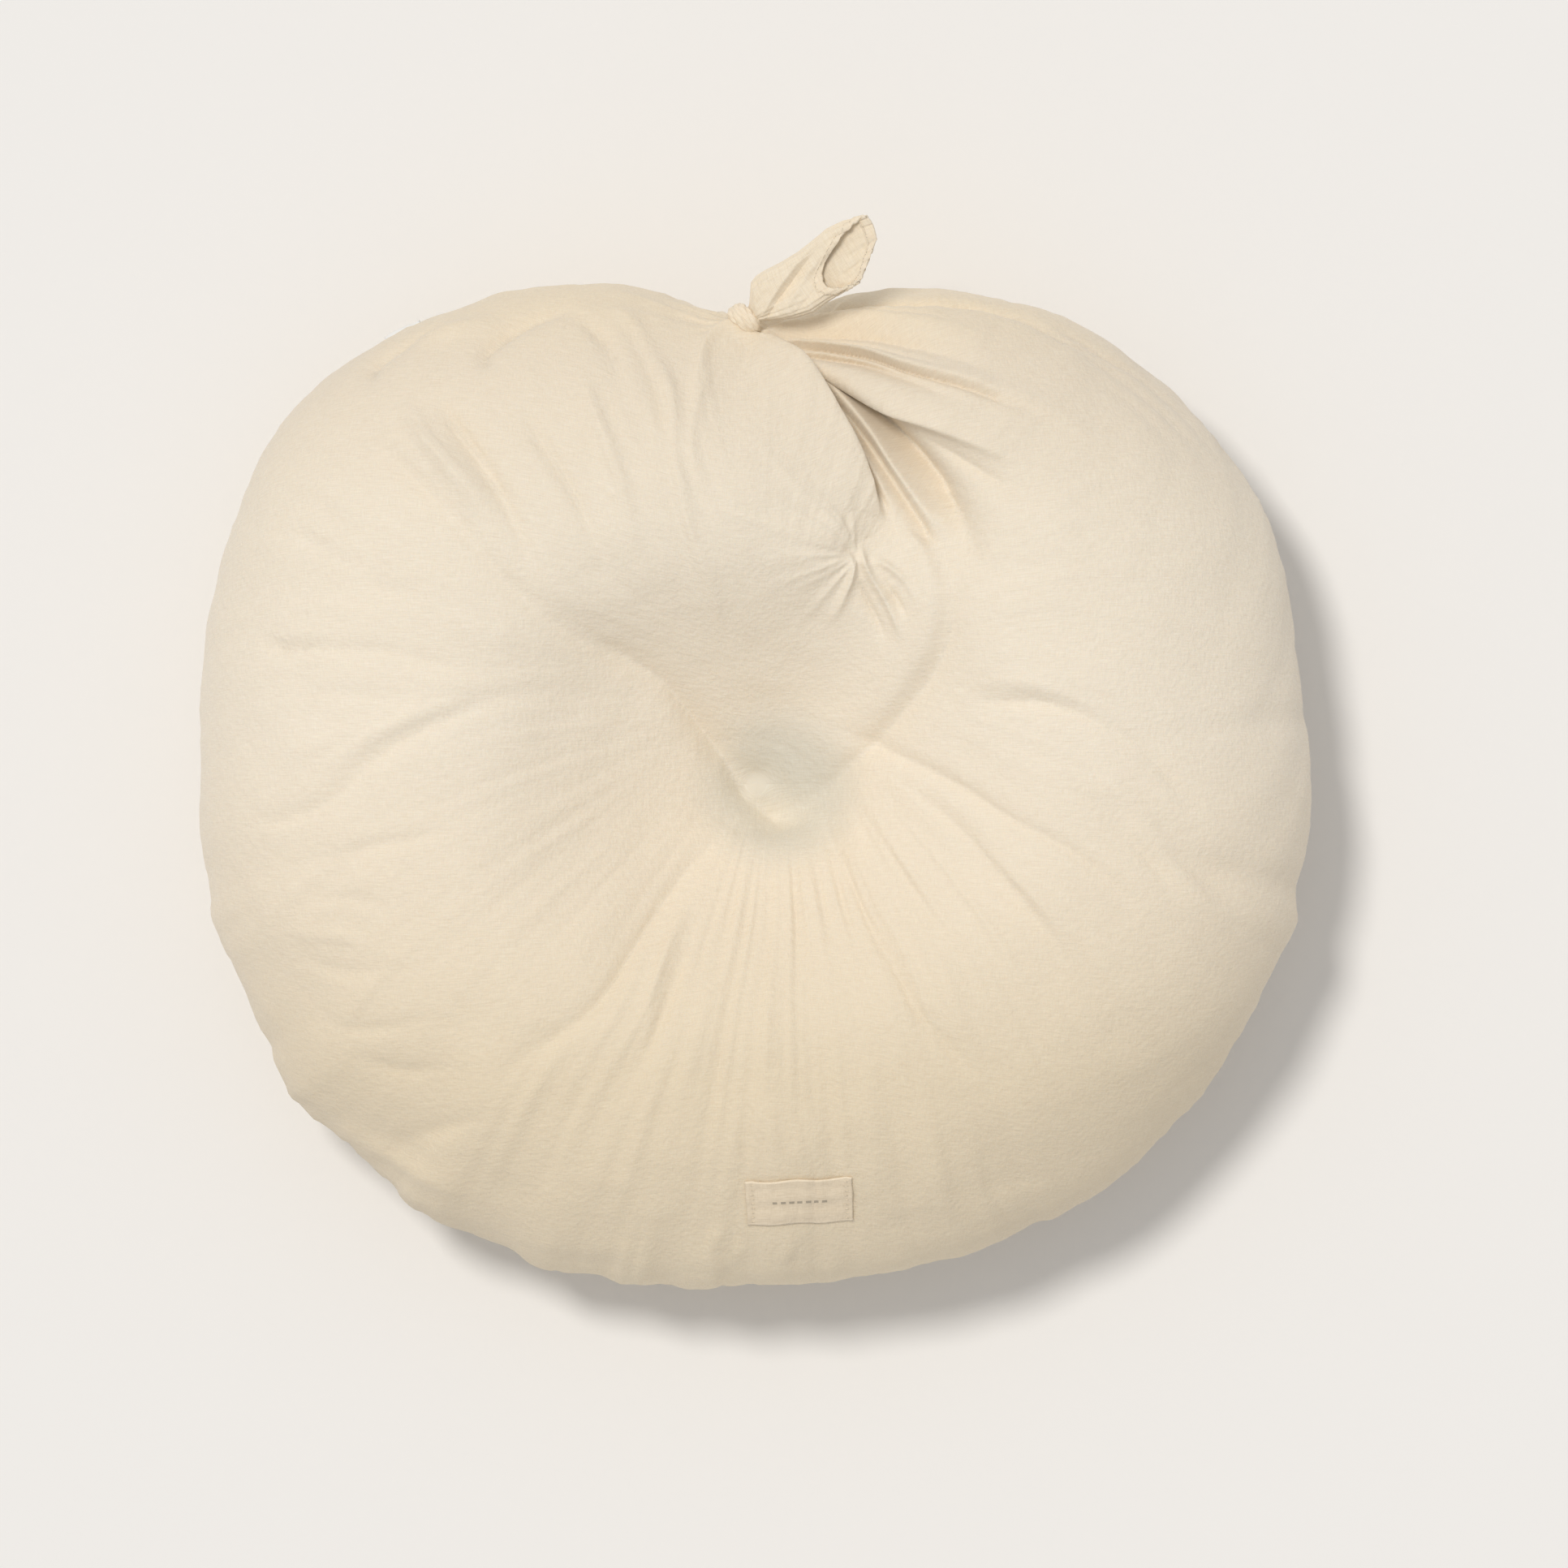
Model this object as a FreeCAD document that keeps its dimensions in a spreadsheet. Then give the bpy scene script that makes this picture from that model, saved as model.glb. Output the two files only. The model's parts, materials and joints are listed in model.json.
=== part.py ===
"""Knotted floor cushion: a bead-filled inner cushion in a loose cotton sack whose neck is tied in a knot.

Millimetres, +Z up.  The origin is the centre of the flat face that the cushion rests on, +Y points to the
knot at the back and -Y to the sewn label at the front.  The sack's two panels meet at a seam round the
widest part.  The inner cushion lies inside it and closes with a zip on its underside.
"""
import FreeCAD
import Part

import math
import os

import Sketcher
from FreeCAD import Placement, Rotation, Vector

# alias: (value, what it is)
SIZES = {
    # the stuffed body
    "cushion_width": (760.0, "overall width, left to right"),
    "cushion_depth": (690.0, "depth without the knot, front to back"),
    "cushion_height": (270.0, "height of the crown above the floor"),
    "seam_height": (118.0, "height of the widest part, where the panels meet"),
    "base_width": (470.0, "width of the flat underside"),
    "base_depth": (420.0, "depth of the flat underside"),
    "crown_width": (430.0, "width across the crown of the rim"),
    "crown_depth": (370.0, "depth across the crown of the rim"),
    "hollow_depth": (88.0, "drop from the crown to the hollow's floor"),
    "hollow_width": (56.0, "diameter of the hollow's floor"),
    "notch_depth": (30.0, "how far the back edge is drawn in at the neck"),
    "notch_spread": (58.0, "sideways reach of the drawn-in part"),
    "valley_depth": (62.0, "drop of the crown behind the hollow, below the neck"),
    "valley_spread": (58.0, "sideways reach of that drop"),
    "corner_front_left": (2.3, "fullness of this corner, 2 is an ellipse"),
    "corner_front_right": (2.07, "fullness of this corner"),
    "corner_back_left": (2.95, "fullness of this corner"),
    "corner_back_right": (2.56, "fullness of this corner"),
    # cloth layers, from the outside in
    "cover_cloth": (1.2, "thickness of the sack's cloth with its crinkle"),
    "liner_ease": (4.0, "looseness between the sack and the inner cushion"),
    "liner_cloth": (0.8, "thickness of the inner cushion's cloth"),
    "fill_gap": (0.3, "gap between the inner cloth and the fill"),
    "seam_allowance": (10.0, "height of the turned-in seam edges"),
    "allowance_cloth": (1.0, "thickness of the turned-in seam edges"),
    "thread": (0.6, "thickness of the sewing thread"),
    "thread_gap": (0.8, "clearance between the seam's edges and the thread behind them"),
    # the label, the care label and the gather
    "label_width": (72.0, "sewn label, along its long side"),
    "label_height": (30.0, "sewn label, along its short side"),
    "label_cloth": (0.8, "thickness of the label"),
    "label_right": (29.5, "label's centre, to the right of the middle"),
    "label_edge": (61.0, "label's centre to the front edge"),
    "label_tilt": (2.6, "degrees that the label is turned"),
    "label_stitches": (9.0, "stitches on each short side"),
    "stitch_length": (2.4, "length of one stitch"),
    "stitch_inset": (4.0, "stitching line to the label's or hem's edge"),
    "care_width": (26.0, "width of the care label"),
    "care_drop": (38.0, "length of the care label below the seam"),
    "care_bearing": (128.0, "degrees from +X round to the care label"),
    "gather_right": (74.0, "gather's centre, to the right of the middle"),
    "gather_back": (154.0, "gather's centre, behind the middle"),
    "gather_length": (36.0, "length of the stay tape behind the gather"),
    "gather_width": (9.0, "width of that tape"),
    # the neck, the knot and the loose end
    "knot_right": (-8.0, "knot's centre, to the right of the middle"),
    "knot_gap": (0.6, "clearance between the throat and the knot's collar"),
    "knot_roll": (5.6, "radius of the cloth roll that makes the collar"),
    "neck_gap": (0.4, "clearance between the neck and the knot's collar"),
    "neck_spread": (44.0, "radius of the neck's pleats where they leave the body"),
    "neck_length": (84.0, "length of the gathered neck"),
    "neck_bearing": (-42.0, "degrees from +X that the neck spreads towards"),
    "neck_rise": (-16.0, "degrees that it rises on the way, less than nothing for downwards"),
    "tail_bearing": (32.0, "degrees from +X that the loose end points to"),
    "tail_rise": (20.0, "degrees that the loose end rises"),
    "throat_ball": (8.0, "radius of the tight cloth in the knot and at the fold"),
    "throat_radius": (5.0, "radius of the cloth between them"),
    "throat_flat": (1.5, "radius of the flat at each end of that cloth"),
    "throat_length": (24.0, "knot's centre to the fold of the loose end"),
    "fold_gap": (0.4, "clearance round the fold"),
    "sleeve_length": (74.0, "fold to the hem"),
    "sleeve_root": (7.4, "radius of the loose end at the fold"),
    "mouth_width": (48.0, "width of the open mouth"),
    "mouth_depth": (22.0, "height of the open mouth"),
    "sleeve_cloth": (1.2, "thickness of the loose end's cloth"),
    "hem_length": (11.0, "length of the turned hem"),
    "hem_cloth": (1.0, "thickness that the turned hem adds"),
    "hem_stitches": (28.0, "stitches round the hem"),
    # the inner cushion's zip
    "zip_length": (320.0, "length of the zip's teeth"),
    "zip_front": (40.0, "zip, in front of the middle"),
    "tape_width": (14.0, "width of one tape"),
    "tape_cloth": (0.6, "thickness of the tapes"),
    "coil_width": (2.2, "width of one row of teeth"),
    "coil_height": (1.8, "height of the teeth above the tape"),
    "coil_gap": (1.6, "gap between the rows that the slider's post runs in"),
    "slider_length": (11.0, "length of the slider"),
    "slider_plate": (1.0, "thickness of the slider's plates"),
    "slider_gap": (0.3, "running clearance in the slider"),
    "slider_flange": (1.0, "thickness of the slider's side flanges"),
    "stop_length": (3.0, "length of an end stop"),
    "zip_headroom": (1.2, "room above the slider in the fill"),
}
RING_POINTS = 48
SIDE_RINGS = 5
HOLLOW_RINGS = 6

doc = FreeCAD.newDocument("knotted_floor_cushion")
sheet = doc.addObject("Spreadsheet::Sheet", "Sizes")
for row, (alias, (value, words)) in enumerate(SIZES.items(), start=1):
    sheet.set(f"A{row}", words)
    sheet.set(f"B{row}", str(value))
    sheet.setAlias(f"B{row}", alias)
doc.recompute()


def size(alias):
    """The value of one cell of the sheet."""
    return float(sheet.get(alias))


def feature(label, shape, placement=None):
    """A sub-part whose shape is worked out from the sheet's sizes."""
    made = doc.addObject("Part::Feature", label)
    made.Label = label
    made.Shape = shape
    if placement:
        made.Placement = placement
    return made


def bind(thing, **cells):
    """Ties properties to the sheet: a double underscore in the name stands for a dot."""
    for name, expression in cells.items():
        thing.setExpression(name.replace("__", "."), expression)
    return thing


# ---------------------------------------------------------------- the stuffed body's skin


def corner_fullness(along, back):
    """The outline's exponent in the quarter that a direction points to."""
    side = "right" if along >= 0 else "left"
    end = "back" if back >= 0 else "front"
    return size(f"corner_{end}_{side}")


def ring(half_width, half_depth, height, drawn_in, dropped):
    """One closed level curve of the skin.

    drawn_in and dropped are the shares of the back notch and of the valley behind the hollow."""
    points = []
    for step in range(RING_POINTS):
        turn = 2 * math.pi * step / RING_POINTS
        along, back = math.cos(turn), math.sin(turn)
        power = corner_fullness(along, back)
        reach = (abs(along / half_width) ** power + abs(back / half_depth) ** power) ** (-1 / power)
        x, y, z = reach * along, reach * back, height
        if back > 0:
            y -= drawn_in * size("notch_depth") * math.exp(-((x / size("notch_spread")) ** 2))
            z -= dropped * size("valley_depth") * back**2 * math.exp(-((x / size("valley_spread")) ** 2))
        points.append(Vector(x, y, z))
    curve = Part.BSplineCurve()
    curve.interpolate(Points=points, PeriodicFlag=True)
    return Part.Wire([curve.toShape()])


def base_rings(inset):
    """From the flat underside out and up to the seam, moved inwards by inset."""
    rings = []
    for step in range(SIDE_RINGS + 1):
        turn = math.pi / 2 * step / SIDE_RINGS
        out, up = math.sin(turn), 1 - math.cos(turn)
        half = [
            size(f"base_{way}") / 2 + (size(f"cushion_{way}") / 2 - inset - size(f"base_{way}") / 2) * out
            for way in ("width", "depth")
        ]
        rings.append(ring(*half, inset + (size("seam_height") - inset) * up, out, 0))
    return rings


def top_rings(inset):
    """From the seam up over the crown and down to the hollow's floor, moved inwards by inset."""
    seam, crown = size("seam_height"), size("cushion_height") - inset
    rings = []
    for step in range(SIDE_RINGS + 1):
        turn = math.pi / 2 * step / SIDE_RINGS
        out, up = math.cos(turn), math.sin(turn)
        half = [
            size(f"crown_{way}") / 2 + (size(f"cushion_{way}") / 2 - inset - size(f"crown_{way}") / 2) * out
            for way in ("width", "depth")
        ]
        rings.append(ring(*half, seam + (crown - seam) * up, out, up**2))
    for step in range(1, HOLLOW_RINGS + 1):
        share = step / HOLLOW_RINGS
        half = [
            size(f"crown_{way}") / 2 * (1 - share) + (size("hollow_width") / 2 + inset) * share
            for way in ("width", "depth")
        ]
        drop = size("hollow_depth") * (1 - math.cos(math.pi * share)) / 2
        rings.append(ring(*half, crown - drop, 0, (1 - share) ** 2))
    return rings


def top_block(inset):
    return Part.makeLoft(top_rings(inset), True, False)


def base_block(inset):
    return Part.makeLoft(base_rings(inset), True, False)


liner_inset = size("cover_cloth") + size("liner_ease")
liner_inner = liner_inset + size("liner_cloth")
fill_inset = liner_inner + size("fill_gap")
cover_top = top_block(0)
cover_base = base_block(0)
cover_top_inner = top_block(size("cover_cloth"))
cover_base_inner = base_block(size("cover_cloth"))


def cushion_panels():
    """The sack's two panels."""
    feature("cover_top_panel", cover_top.cut(cover_top_inner))
    feature("cover_base_panel", cover_base.cut(cover_base_inner))


def layer(outer, inner, region, block):
    """The part of the skin between two insets that lies in a region."""
    return region.common(block(outer)).cut(block(inner))


def turned_box(width, depth, height, at, turn=0.0):
    """A box centred on a point in plan, with its foot at that point's height."""
    made = Part.makeBox(width, depth, height, Vector(-width / 2, -depth / 2, 0))
    made.Placement = Placement(at, Rotation(Vector(0, 0, 1), turn))
    return made


# ---------------------------------------------------------------- seam, labels and gather


def seam_lean(height):
    """How far the skin leans in at a height above the seam."""
    return size("cushion_width") / 2 * (1 - math.cos((height - size("seam_height")) / size("seam_height")))


def upright_band(inset, thickness, low, high):
    """A thin band that stands on the seam line inside the sack, following the skin's lean."""
    walls = []
    for depth in (inset, inset + thickness):
        rings = []
        for height in (low, high):
            half = [size(f"cushion_{way}") / 2 - depth - seam_lean(height) for way in ("width", "depth")]
            rings.append(ring(*half, height, 1, 0))
        walls.append(Part.makeLoft(rings, True, True))
    return walls[0].cut(walls[1])


def side_seam():
    """The turned-in edges of both panels and the thread that closes them, inside the sack."""
    cloth, fold, thread = size("cover_cloth"), size("allowance_cloth"), size("thread")
    foot, tall = size("seam_height"), size("seam_allowance")
    feature("cover_seam_allowance", upright_band(cloth, fold, foot, foot + tall))
    middle = foot + tall / 2
    behind = cloth + fold + size("thread_gap")
    feature("cover_seam_thread", upright_band(behind, thread, middle - thread, middle + thread))


def label():
    """The sewn label at the front and the stitches across its two short sides."""
    at = Vector(size("label_right"), size("label_edge") - size("cushion_depth") / 2, size("seam_height"))
    turn, tall = size("label_tilt"), size("cushion_height")
    patch = turned_box(size("label_width"), size("label_height"), tall, at, turn)
    feature("label_patch", layer(-size("label_cloth"), 0, patch, top_block))
    stitches = []
    count = int(size("label_stitches"))
    pitch = (size("label_height") - size("stitch_inset")) / count
    for side in (-1, 1):
        for step in range(count):
            along = side * (size("label_width") / 2 - size("stitch_inset"))
            up = (step - (count - 1) / 2) * pitch
            place = at + Rotation(Vector(0, 0, 1), turn).multVec(Vector(along, up, 0))
            stitches.append(turned_box(size("stitch_length"), size("thread"), tall, place, turn))
    raised = size("label_cloth") + size("thread")
    feature(
        "label_stitches",
        layer(-raised, -size("label_cloth"), Part.makeCompound(stitches), top_block),
    )


def care_label():
    """A narrow care label, sewn into the side seam and lying down the sack's lower side."""
    bearing, drop = size("care_bearing"), size("care_drop")
    reach = size("cushion_width")
    turn = Rotation(Vector(0, 0, 1), bearing)
    middle = turn.multVec(Vector(reach / 2, 0, 0)) + Vector(0, 0, size("seam_height") - drop)
    strip = turned_box(reach, size("care_width"), drop, middle, bearing)
    feature("care_label", layer(-size("label_cloth"), 0, strip, base_block))


def gather_tape():
    """The stay tape that holds the gather in the sack's top, sewn to its inside."""
    cloth = size("cover_cloth")
    at = Vector(size("gather_right"), size("gather_back"), size("seam_height"))
    strip = turned_box(size("gather_width"), size("gather_length"), size("cushion_height"), at)
    feature("gather_stay_tape", layer(cloth, cloth + size("allowance_cloth"), strip, top_block))


# ---------------------------------------------------------------- inner cushion


def liner():
    """The inner cushion's two panels, with the zip's slot in the lower one, and its fill."""
    slot_width = 2 * size("tape_width") + size("coil_gap")
    slot = turned_box(
        size("zip_length"), slot_width, size("seam_height") / 2, Vector(0, -size("zip_front"), 0)
    )
    feature("liner_top_panel", top_block(liner_inset).cut(top_block(liner_inner)))
    feature("liner_base_panel", base_block(liner_inset).cut(base_block(liner_inner)).cut(slot))
    room = turned_box(
        size("zip_length"),
        slot_width,
        liner_inset + slider_height() + size("zip_headroom"),
        Vector(0, -size("zip_front"), 0),
    )
    lower = base_block(fill_inset).cut(room)
    feature("bead_fill", top_block(fill_inset).fuse(lower))


def slider_height():
    """Both plates, the teeth, the tape and the running gaps between them."""
    return 2 * size("slider_plate") + size("coil_height") + size("tape_cloth") + 2 * size("slider_gap")


def zip_rows():
    """The two tapes with their rows of teeth, as straight bars, and the stops at both ends."""
    tape_foot = "Sizes.cover_cloth + Sizes.liner_ease + (Sizes.liner_cloth - Sizes.tape_cloth) / 2"
    coil_foot = f"{tape_foot} + Sizes.tape_cloth"
    for label, side in (("front", -1), ("rear", 1)):
        near = "Sizes.coil_gap / 2"
        tape_y = near if side > 0 else f"-({near}) - Sizes.tape_width"
        coil_y = near if side > 0 else f"-({near}) - Sizes.coil_width"
        tape = doc.addObject("Part::Box", f"zip_tape_{label}")
        bind(
            tape,
            Length="Sizes.zip_length",
            Width="Sizes.tape_width",
            Height="Sizes.tape_cloth",
            Placement__Base__x="-Sizes.zip_length / 2",
            Placement__Base__y=f"-Sizes.zip_front + {tape_y}",
            Placement__Base__z=tape_foot,
        )
        coil = doc.addObject("Part::Box", f"zip_teeth_{label}_bar")
        bind(
            coil,
            Length="Sizes.zip_length - 2 * Sizes.stop_length",
            Width="Sizes.coil_width",
            Height="Sizes.coil_height",
            Placement__Base__x="-Sizes.zip_length / 2 + Sizes.stop_length",
            Placement__Base__y=f"-Sizes.zip_front + {coil_y}",
            Placement__Base__z=coil_foot,
        )
        doc.recompute()
        rounded = doc.addObject("Part::Fillet", f"zip_teeth_{label}")
        rounded.Base = coil
        rounded.Edges = [(n, 0.4, 0.4) for n in top_edges_along(coil.Shape)]
        coil.Label = f"{label} row before rounding"
        rounded.Label = f"zip_teeth_{label}"
    for label, end in (("left", -1), ("right", 1)):
        stop = doc.addObject("Part::Box", f"zip_stop_{label}")
        start = "-Sizes.zip_length / 2" if end < 0 else "Sizes.zip_length / 2 - Sizes.stop_length"
        bind(
            stop,
            Length="Sizes.stop_length",
            Width="Sizes.coil_gap + 2 * Sizes.coil_width",
            Height="Sizes.coil_height",
            Placement__Base__x=start,
            Placement__Base__y="-Sizes.zip_front - Sizes.coil_gap / 2 - Sizes.coil_width",
            Placement__Base__z=coil_foot,
        )


def top_edges_along(shape):
    """Numbers of a box's two upper edges that run along X."""
    top = shape.BoundBox.ZMax
    return [
        n
        for n, edge in enumerate(shape.Edges, start=1)
        if all(abs(v.Z - top) < 1e-6 for v in edge.Vertexes) and edge.BoundBox.XLength > 1
    ]


def origin_plane(body, role):
    return next(f for f in body.Origin.OriginFeatures if f.Role == role)


def closed_outline(sketch, corners):
    """Draws a closed polygon through corners, given as (across, up) in the sketch's plane."""
    for start, end in zip(corners, corners[1:] + corners[:1]):
        sketch.addGeometry(Part.LineSegment(Vector(*start, 0), Vector(*end, 0)), False)
    for n in range(len(corners)):
        sketch.addConstraint(Sketcher.Constraint("Coincident", n, 2, (n + 1) % len(corners), 1))


def zip_slider():
    """The zip's slider: two plates joined by a post between the rows, with flanges over the teeth."""
    plate, gap, flange = size("slider_plate"), size("slider_gap"), size("slider_flange")
    tape, tall = size("tape_cloth"), size("coil_height")
    post = size("coil_gap") / 2 - gap
    inside = size("coil_gap") / 2 + size("coil_width") + gap
    outside = inside + flange
    floor, ceiling = -gap, tape + tall + gap
    half = [
        (0, floor - plate),
        (outside, floor - plate),
        (outside, floor),
        (post, floor),
        (post, ceiling),
        (inside, ceiling),
        (inside, tape + gap),
        (outside, tape + gap),
        (outside, ceiling + plate),
        (0, ceiling + plate),
    ]
    section = half + [(-across, up) for across, up in reversed(half[1:-1])]
    body = doc.addObject("PartDesign::Body", "zip_slider")
    sketch = body.newObject("Sketcher::SketchObject", "slider_section")
    sketch.AttachmentSupport = [(origin_plane(body, "YZ_Plane"), "")]
    sketch.MapMode = "FlatFace"
    closed_outline(sketch, section)
    pad = body.newObject("PartDesign::Pad", "slider_pad")
    pad.Profile = sketch
    bind(pad, Length="Sizes.slider_length")
    doc.recompute()
    body.Label = "zip_slider"
    foot = size("cover_cloth") + size("liner_ease") + (size("liner_cloth") - tape) / 2
    start = -size("zip_length") / 2 + size("stop_length") + size("slider_gap")
    body.Placement = Placement(Vector(start, -size("zip_front"), foot), Rotation())


# ---------------------------------------------------------------- neck, knot and loose end


def direction(bearing, rise):
    """A unit vector at a bearing from +X and a rise above level, both in degrees."""
    turn, lift = math.radians(bearing), math.radians(rise)
    return Vector(math.cos(turn) * math.cos(lift), math.sin(turn) * math.cos(lift), math.sin(lift))


# the knot lies against the drawn-in back edge, halfway from the seam to the crown
knot_at = Vector(
    size("knot_right"),
    size("cushion_depth") / 2 - size("notch_depth"),
    (size("seam_height") + size("cushion_height")) / 2,
)
tail_way = direction(size("tail_bearing"), size("tail_rise"))
fold_at = knot_at + tail_way * size("throat_length")
# the loose end's own frame: X along it, Y level across it
tail_turn = Rotation(Vector(0, 0, 1), size("tail_bearing")) * Rotation(Vector(0, 1, 0), -size("tail_rise"))


def knot_collar():
    """The turn of cloth that is pulled tight round the neck."""
    collar = doc.addObject("Part::Torus", "knot_collar")
    bore = "Sizes.throat_ball + Sizes.knot_gap"
    bind(collar, Radius1=f"{bore} + Sizes.knot_roll", Radius2="Sizes.knot_roll")
    set_back = tail_way * (-size("knot_roll") * 0.4)
    collar.Placement = Placement(knot_at + set_back, Rotation(Vector(0, 0, 1), tail_way))
    return collar


def neck(collar):
    """The sack's neck: pleats that run from the body together into the knot."""
    way = direction(size("neck_bearing"), size("neck_rise"))
    root = size("throat_ball") + size("knot_gap") - size("neck_gap")
    cone = Part.makeCone(root, size("neck_spread"), size("neck_length"), knot_at, way)
    room = size("throat_ball") + size("fold_gap")
    ball_room = Part.makeSphere(room, knot_at)
    throat_room = Part.makeCylinder(room, size("throat_length") + room, knot_at, tail_way)
    drawn_cloth = cone.cut(ball_room).cut(throat_room).cut(collar.Shape)
    feature("neck_gather", drawn_cloth.cut(cover_top).cut(cover_base))


def throat():
    """The tightest cloth of the loose end: a ball in the knot, a ball at the fold and a waist between.

    Both balls have a small flat at the pole."""
    ball, waist, length = size("throat_ball"), size("throat_radius"), size("throat_length")
    flat = size("throat_flat")
    neck_at, pole = math.sqrt(ball**2 - waist**2), math.sqrt(ball**2 - flat**2)
    lift = ball * math.sqrt(0.5)
    outline = [
        Part.LineSegment(Vector(-pole, 0, 0), Vector(-pole, flat, 0)),
        Part.Arc(Vector(-pole, flat, 0), Vector(-lift, lift, 0), Vector(neck_at, waist, 0)),
        Part.LineSegment(Vector(neck_at, waist, 0), Vector(length - neck_at, waist, 0)),
        Part.Arc(
            Vector(length - neck_at, waist, 0), Vector(length + lift, lift, 0), Vector(length + pole, flat, 0)
        ),
        Part.LineSegment(Vector(length + pole, flat, 0), Vector(length + pole, 0, 0)),
        Part.LineSegment(Vector(length + pole, 0, 0), Vector(-pole, 0, 0)),
    ]
    half = Part.Face(Part.Wire([piece.toShape() for piece in outline]))
    turned = half.revolve(Vector(0, 0, 0), Vector(1, 0, 0), 360)
    feature("tail_throat", turned, Placement(knot_at, tail_turn))


def oval(half_width, half_depth, at):
    """A closed oval across the loose end's axis, level way first."""
    turn = Rotation(Vector(0, 1, 0), 90)
    if half_width - half_depth < 1e-6:
        curve = Part.Circle(Vector(0, 0, 0), Vector(0, 0, 1), half_width)
    else:
        curve = Part.Ellipse(
            Vector(0, half_width, 0), Vector(-half_depth, 0, 0), Vector(0, 0, 0)
        )
    wire = Part.Wire([curve.toShape()])
    wire.Placement = Placement(Vector(at, 0, 0), turn)
    return wire


def flared(root, half_width, half_depth, start, end):
    """A solid that widens from a round root to an oval."""
    middle = start + (end - start) * 0.5
    swell_width, swell_depth = (root + half_width) / 2, (root + half_depth) / 2
    return Part.makeLoft(
        [
            oval(root, root - 1e-3, start),
            oval(swell_width, swell_depth, middle),
            oval(half_width, half_depth, end),
        ],
        True,
        False,
    )


def straight(half_width, half_depth, start, length):
    """An oval bar along the loose end."""
    return Part.Face(oval(half_width, half_depth, start)).extrude(Vector(length, 0, 0))


def loose_end():
    """The sack's mouth past the knot: a flared sleeve, its turned hem and the hem's stitches."""
    placed = Placement(fold_at, tail_turn)
    start, end = size("throat_ball") + size("fold_gap"), size("sleeve_length")
    half_width, half_depth = size("mouth_width") / 2, size("mouth_depth") / 2
    cloth, hem, length = size("sleeve_cloth"), size("hem_cloth"), size("hem_length")
    root = size("sleeve_root")
    outside = flared(root, half_width, half_depth, start, end).fuse(
        straight(half_width, half_depth, end, length)
    )
    inside = flared(root - cloth, half_width - cloth, half_depth - cloth, start + cloth * 3, end).fuse(
        straight(half_width - cloth, half_depth - cloth, end, length)
    )
    feature("tail_sleeve", outside.cut(inside), placed)
    band = straight(half_width + hem, half_depth + hem, end, length)
    feature("tail_hem", band.cut(straight(half_width, half_depth, end, length)), placed)
    stitches = []
    thread, count = size("thread"), int(size("hem_stitches"))
    line = end + size("stitch_inset")
    for step in range(count):
        turn = 2 * math.pi * step / count
        across, up = (half_width + hem) * math.cos(turn), (half_depth + hem) * math.sin(turn)
        stitch = Part.makeBox(thread, size("stitch_length"), 2 * thread)
        stitch.translate(Vector(-thread / 2, -size("stitch_length") / 2, -thread))
        lean = math.degrees(math.atan2(across / half_width**2, up / half_depth**2))
        stitch.Placement = Placement(
            Vector(line, across, up), Rotation(Vector(1, 0, 0), -lean)
        ).multiply(stitch.Placement)
        stitches.append(stitch)
    proud = Part.makeCompound(stitches).cut(straight(half_width + hem, half_depth + hem, end, length))
    feature("hem_stitches", proud, placed)


# ---------------------------------------------------------------- build and write

cushion_panels()
side_seam()
label()
care_label()
gather_tape()
liner()
zip_rows()
zip_slider()
collar = knot_collar()
doc.recompute()
neck(collar)
throat()
loose_end()
doc.recompute()

SUB_PARTS = [
    "cover_top_panel",
    "cover_base_panel",
    "cover_seam_allowance",
    "cover_seam_thread",
    "label_patch",
    "label_stitches",
    "care_label",
    "gather_stay_tape",
    "liner_top_panel",
    "liner_base_panel",
    "bead_fill",
    "zip_tape_front",
    "zip_tape_rear",
    "zip_teeth_front",
    "zip_teeth_rear",
    "zip_stop_left",
    "zip_stop_right",
    "zip_slider",
    "knot_collar",
    "neck_gather",
    "tail_throat",
    "tail_sleeve",
    "tail_hem",
    "hem_stitches",
]


def checked(label):
    """The sub-part's shape, once its object and its shape are sound."""
    found = doc.getObjectsByLabel(label)
    if len(found) != 1:
        raise RuntimeError(f"{label}: {len(found)} objects have this label")
    bad = {"Invalid", "Error"} & set(found[0].State)
    if bad or found[0].Shape.isNull() or not found[0].Shape.isValid():
        raise RuntimeError(f"{label}: {bad or 'its shape is null or not valid'}")
    return found[0].Shape


for thing in doc.Objects:
    if {"Invalid", "Error"} & set(thing.State):
        raise RuntimeError(f"{thing.Label} failed: {thing.State}")
shapes = {label: checked(label) for label in SUB_PARTS}
os.makedirs("parts", exist_ok=True)
for label, shape in shapes.items():
    shape.exportStep(f"parts/{label}.step")
    print(f"{label}: {len(shape.Solids)} solids, {shape.Volume / 1000:.2f} cm3")
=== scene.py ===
"""Looks of the knotted floor cushion: a crinkled cotton sack, seen from straight above.

Metres, in the CAD's frame.  Tables of folds and outlines are in millimetres and pass through MM.
The sack is one closed grid that runs from the underside's centre up to the seam and on to the floor of
the hollow.  Folds, ribs and puckers move it along its normals, and its cells are split where the pleats
fan out from the knot.
"""
import json
import math

import bpy
import numpy as np
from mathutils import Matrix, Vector
from mathutils.bvhtree import BVHTree


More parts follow.
